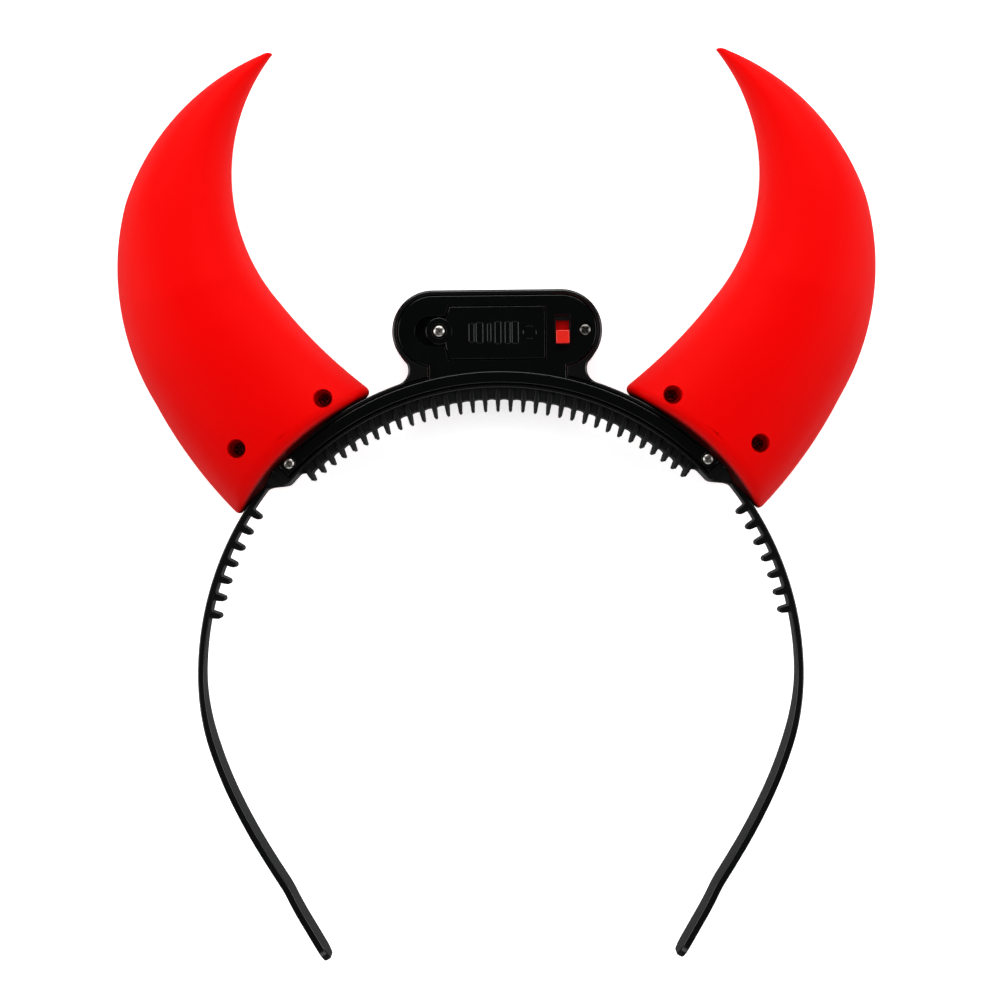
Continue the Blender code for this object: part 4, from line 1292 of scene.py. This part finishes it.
@dataclass
class ScrewSet:
    """Screws of one finish: a cross-recess pan head, set at each screw's place by a Geometry Nodes tree."""

    name: str
    finish: Finish
    # Each row is one screw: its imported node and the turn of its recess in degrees.
    screws: tuple[tuple[str, float], ...]
    head: float = 0.0030
    height: float = 0.0008
    recess: float = 0.0021
    arm: float = 0.00058
    flat: float = 0.30
    rim: float = 0.7
    recess_depth: float = 0.8
    foot: float = 0.96
    foot_rise: float = 0.9
    top: float = 0.25
    dome_steps: int = 9
    deep_reach: float = 0.45
    deep_side: float = 0.28
    pit: float = 0.62
    pit_depth: float = 0.9
    proud: float = 0.00005
    over: float = 0.0003
    smooth: float = 30.0

    def pattern(self) -> Thing:
        """Return one screw head of full size with its top at height 0."""
        radius, rim = self.head / 2, self.rim
        rows = [(radius * self.foot, -self.height), (radius, -self.height * self.foot_rise),
                (radius, -self.height * rim)]
        for step in range(1, self.dome_steps):
            turn = math.pi / 2 * step / self.dome_steps
            rows.append((radius * (self.flat + (1 - self.flat) * math.cos(turn)),
                         self.height * rim * (math.sin(turn) - 1)))
        rows.append((radius * self.top, 0.0))
        middle = Vector((0, 0))
        head = Shape().loft([[(p.x, p.y, z) for p in circle(middle, r, 36)] for r, z in rows])
        head = head.object(self.name + "_head")
        half, deep = self.recess / 2, self.height * self.recess_depth
        levels = ((half * self.deep_reach, self.arm * self.deep_side, -deep),
                  (half, self.arm / 2, self.proud), (half, self.arm / 2, self.over))
        for order in (1, -1):
            sizes = [((2 * reach, 2 * side)[::order], z) for reach, side, z in levels]
            rings = [[(p.x, p.y, z) for p in rectangle(middle, *size)] for size, z in sizes]
            carve(head, Shape().loft(rings))
        carve(head, Shape().slab(circle(middle, self.arm * self.pit, 16), -deep * self.pit_depth, self.over))
        return shade(head, self.smooth)

    def scatter(self) -> Scatter:
        """Return the tree that sets a head on each point, turned and sized by the point's attributes."""
        scatter = Scatter(self.name + "_places", {})
        turn, size = (scatter.nodes.add("GeometryNodeInputNamedAttribute", {"Name": name}, data_type="FLOAT")
                      for name in ("turn", "size"))
        scatter.copy(scatter.given["Geometry"], scatter.nodes.add("ShaderNodeCombineXYZ", {2: turn}), size)
        return scatter

    def build(self) -> None:
        """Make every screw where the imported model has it."""
        mesh = bpy.data.meshes.new(self.name)
        corners = [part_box(name) for name, _ in self.screws]
        places = [((low.x + high.x) / 2, (low.y + high.y) / 2, high.z) for low, high in corners]
        mesh.from_pydata(places, [], [])
        turn, size = (mesh.attributes.new(name, "FLOAT", "POINT") for name in ("turn", "size"))
        for k, (low, high) in enumerate(corners):
            turn.data[k].value = math.radians(self.screws[k][1])
            size.data[k].value = (high.x - low.x) / self.head
        pattern = self.pattern()
        heads = self.scatter().plain(self.name, mesh, {"Piece": pattern, "Finish": self.finish.material()})
        bpy.data.objects.remove(pattern)
        hand_over(heads, self.finish, Datum(0.0, 0.0), *(name for name, _ in self.screws))


@dataclass
class Horn:
    """One horn of two lens-shaped halves, screwed to the crown."""

    housing: Housing
    rise: float = 0.0794
    sweep: float = 0.0600
    base: float = 0.0460
    depth: float = 0.0240
    clear: float = 0.0004
    from_neck: float = 0.0064
    full_width: float = 0.036
    thinning: float = 0.85
    roll: float = 0.0038
    roll_start: float = 0.74
    inner_corner: float = 0.0034
    outer_corner: float = 0.0016
    tip_length: float = 0.0011
    along: int = 84
    across: int = 44
    recess: float = 0.0047
    recess_floor: float = 0.00315
    bow_reach: float = 0.4
    near_tip: float = 0.995
    # How far from the base the first sections stand.
    near: tuple[float, ...] = (0.0, 0.0002, 0.0005, 0.0009, 0.0014, 0.0020, 0.0027, 0.0034, 0.0042)
    cap_steps: int = 8
    cap_turn: float = 8.3
    smooth: float = 50.0
    # Each row is one arc of an edge: its end along the base and its rise, as shares, and its radius.
    inner: tuple[tuple[float, float, float], ...] = ((-0.344, 0.375, 1.60), (-1.014, 0.973, 0.620))
    outer: tuple[tuple[float, float, float], ...] = (
        (0.327, 0.402, 1.485), (-0.145, 0.936, 0.817), (-0.987, 0.997, 0.778))
    # Each row is one screw: its place along the base, as a share, and its rise.
    screws: tuple[tuple[float, float], ...] = ((-0.276, 0.0037), (0.25, 0.0088))

    def __post_init__(self) -> None:
        """Work out the edges' arcs and the horn's length."""
        self.base_radius = self.housing.hoop.radius + self.clear
        neck = self.housing.neck()
        half = math.degrees(math.asin(self.base / 2 / self.base_radius))
        on_hoop = math.degrees(self.from_neck / self.housing.hoop.radius)
        self.angle = math.degrees(math.atan2(neck.x, neck.y)) + on_hoop + half
        self.dip = self.base_radius * (1 - math.cos(math.radians(half)))
        self.inner_arcs, self.outer_arcs = (self.arcs(Vector((side * self.base / 2, -self.dip)), rows)
                                            for side, rows in ((-1, self.inner), (1, self.outer)))
        self.length = sum(math.radians(a[2]) * a[3] for a in self.inner_arcs + self.outer_arcs) / 2

    def arcs(self, start: Vector, rows: Sequence[Sequence[float]]) -> list[Arc]:
        """Return an edge's arcs as centre, first angle, sweep and radius."""
        found = []
        for along, rise, radius in rows:
            stop = Vector((along * self.sweep, rise * self.rise))
            reach = radius * self.rise
            chord = stop - start
            left = Vector((-chord.y, chord.x)).normalized()
            centre = (start + stop) / 2 + left * math.sqrt(max(0.0, reach * reach - chord.length_squared / 4))
            first = heading(start - centre)
            found.append((centre, first, (heading(stop - centre) - first) % 360, reach))
            start = stop
        return found

    @staticmethod
    def edge_point(arcs: Sequence[Arc], share: float) -> Vector:
        """Return the point at a share of an edge's length."""
        lengths = [math.radians(sweep) * radius for _, _, sweep, radius in arcs]
        left = share * sum(lengths)
        for k, (centre, first, sweep, radius) in enumerate(arcs):
            if left <= lengths[k] or k == len(arcs) - 1:
                return arc(centre, radius, 0, first + sweep * left / lengths[k], 1)[1]
            left -= lengths[k]
        return Vector((0, 0))

    def plan(self, along: float, rise: float) -> Vector:
        """Return the plan point for a point of the right horn's own frame."""
        outward = polar(self.angle, 1.0)
        return outward * (self.base_radius + rise) + Vector((outward.y, -outward.x)) * along

    def bow(self, along: float) -> float:
        """Return how far the hoop's round back stands above the base's chord."""
        along = min(self.base / 2, abs(along))
        return self.dip - self.base_radius + math.sqrt(self.base_radius ** 2 - along ** 2)

    def tip_heading(self) -> Vector:
        """Return the direction in which the tip points, in the horn's own frame."""
        inner, outer = (self.edge_point(arcs, 1.0) - self.edge_point(arcs, self.near_tip)
                        for arcs in (self.inner_arcs, self.outer_arcs))
        return (inner.normalized() + outer.normalized()).normalized()

    @staticmethod
    def corner_pull(run: float, radius: float) -> float:
        """Return how far an edge stands in at a distance from the base, where its corner is rounded."""
        corner = max(0.0, 1 - run / radius)
        return radius * (1 - math.sqrt(1 - corner * corner))

    def section(self, share: float, narrow: float = 1.0, beyond: float = 0.0) -> list[tuple[Vector, float]]:
        """Return one section's plan points and heights above the middle plane."""
        inner = self.edge_point(self.inner_arcs, share)
        outer = self.edge_point(self.outer_arcs, share)
        width = (outer - inner).length
        run = share * self.length
        across = (outer - inner).normalized()
        inner = inner + across * self.corner_pull(run, self.inner_corner)
        outer = outer - across * self.corner_pull(run, self.outer_corner)
        middle = (inner + outer) / 2 + self.tip_heading() * beyond
        half = (outer - inner) / 2 * narrow
        depth = self.depth / 2 * min(1.0, width / self.full_width) ** self.thinning
        roll = max(0.0, 1 - run / self.roll)
        depth *= mix(self.roll_start, 1.0, math.sqrt(1 - roll * roll)) * narrow
        lift = max(0.0, 1 - share / self.bow_reach) ** 2
        found = []
        for step in range(self.across + 1):
            turn = math.pi * step / self.across
            place = middle - half * math.cos(turn)
            place.y += lift * self.bow(place.x)
            found.append((self.plan(place.x, place.y), depth * math.sin(turn)))
        return found

    def half(self, hand: Hand, face: Face) -> Thing:
        """Return one half of one horn, with its screws' recesses on the cover's side."""
        shares = [run / self.length for run in (*self.near, self.roll)]
        shares += [mix(shares[-1], 1.0, k / self.along) for k in range(1, self.along + 1)]
        rows = [self.section(share) for share in shares]
        for step in range(1, self.cap_steps + 1):
            turn = math.pi / 2 * step / self.cap_turn
            rows.append(self.section(1.0, math.cos(turn), self.tip_length * math.sin(turn)))
        rings = [[(hand.value * p.x, p.y, face.value * max(z, GAP / 2)) for p, z in row] for row in rows]
        name = f"horn_{hand.name}_{face.name}_skin".lower()
        half = Shape().loft(rings).object(name)
        if face is Face.BACK:
            for along, rise in self.screws:
                place = self.plan(along * self.base, rise)
                place.x *= hand.value
                carve(half, Shape().slab(circle(place, self.recess / 2), self.recess_floor, THROUGH))
        return half

    def build(self, datum: Datum) -> None:
        """Make all four halves."""
        red = HornPlastic("horn_red", base_radius=self.base_radius, centre_y=datum.centre_y)
        for hand in Hand:
            for face in Face:
                node = f"horn_{hand.name}_{face.name}".lower()
                hand_over(shade(self.half(hand, face), self.smooth), red, datum, node)


@dataclass
class Studio:
    """Pale floor, soft lights and the camera straight above."""

    datum: Datum
    lens: float = 74.16
    camera: Place = (0.00025, 0.04225, 0.520)
    roll: float = -0.62
    floor_size: float = 6.0
    floor_drop: float = 0.0001
    aim: Place = (0.0, 0.0, 0.01)
    # Each row is a height of the surround, from level 0 to straight up 1, and its light.
    sky: tuple[tuple[float, Colour], ...] = ((0.0, (0.10, 0.10, 0.10)), (0.35, (0.015, 0.015, 0.015)))
    # Each row is one softbox: name, place, width, height, power in watts.
    softboxes: tuple[tuple[str, Place, float, float, float], ...] = (
        ("key", (0.0, 0.95, 0.75), 1.3, 0.5, 12.5),
        ("left", (-1.0, 0.1, 0.70), 0.6, 1.0, 6.5),
        ("right", (1.0, 0.1, 0.70), 0.6, 1.0, 6.5),
        ("near", (0.0, -1.0, 0.70), 1.3, 0.5, 3.5))

    def build(self) -> None:
        """Make the floor, the lights, the surround and the camera."""
        scene = bpy.context.scene
        scene.view_settings.view_transform = "Standard"
        floor = Shape()
        bmesh.ops.create_grid(floor.bm, x_segments=1, y_segments=1, size=self.floor_size / 2)
        table = floor.object("floor")
        table.data.materials.append(FLOOR.material())
        table.location.z = -self.floor_drop
        table.visible_glossy = False
        for name, place, width, height, power in self.softboxes:
            light = bpy.data.lights.new(name, "AREA")
            light.shape = "RECTANGLE"
            light.size, light.size_y = width, height
            light.energy = power
            lamp = new_object(name, light)
            lamp.location = place
            lamp.rotation_euler = (Vector(self.aim) - Vector(place)).to_track_quat("-Z", "Y").to_euler()
        world = bpy.data.worlds.new("surround")
        world.use_nodes = True
        nodes = Nodes(world.node_tree)
        direction = nodes.add("ShaderNodeTexCoord", output="Generated")
        up = nodes.add("ShaderNodeSeparateXYZ", {0: direction}, output="Z")
        sky = nodes.add("ShaderNodeValToRGB", {0: up}, stops=self.sky)
        nodes.feed(world.node_tree.nodes["Background"], {"Color": sky})
        scene.world = world
        camera = new_object("camera", bpy.data.cameras.new("camera"))
        camera.data.lens = self.lens
        x, y, z = self.camera
        camera.location = (x, self.datum.centre_y + y, self.datum.middle + z)
        camera.rotation_euler = (0, 0, math.radians(self.roll))
        scene.camera = camera


def main() -> None:
    """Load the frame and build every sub-assembly over it."""
    logging.basicConfig(level=logging.INFO, format="%(message)s")
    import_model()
    hoop = Hoop()
    housing = Housing(hoop)
    datum = Datum.read(hoop, housing)
    cover = BackCover(housing)
    Studio(datum).build()
    for part in (hoop, housing, Comb(hoop), cover, CellMarks(cover), SlideSwitch(cover), Horn(housing)):
        part.build(datum)
    ScrewSet("screws_bright", BRIGHT_STEEL, (("door_screw", 28.0), ("cover_screw_left", 20.0),
                                             ("cover_screw_right", 64.0))).build()
    # These heads take the darker copy of the steel, which is painted shade.
    ScrewSet("screws_dull", SHADED_STEEL, (("cover_screw", 38.0), ("horn_screw_left_top", 5.0),
                                         ("horn_screw_left_side", 50.0), ("horn_screw_right_top", 31.0),
                                         ("horn_screw_right_side", 77.0))).build()


if __name__ == "__main__":
    main()
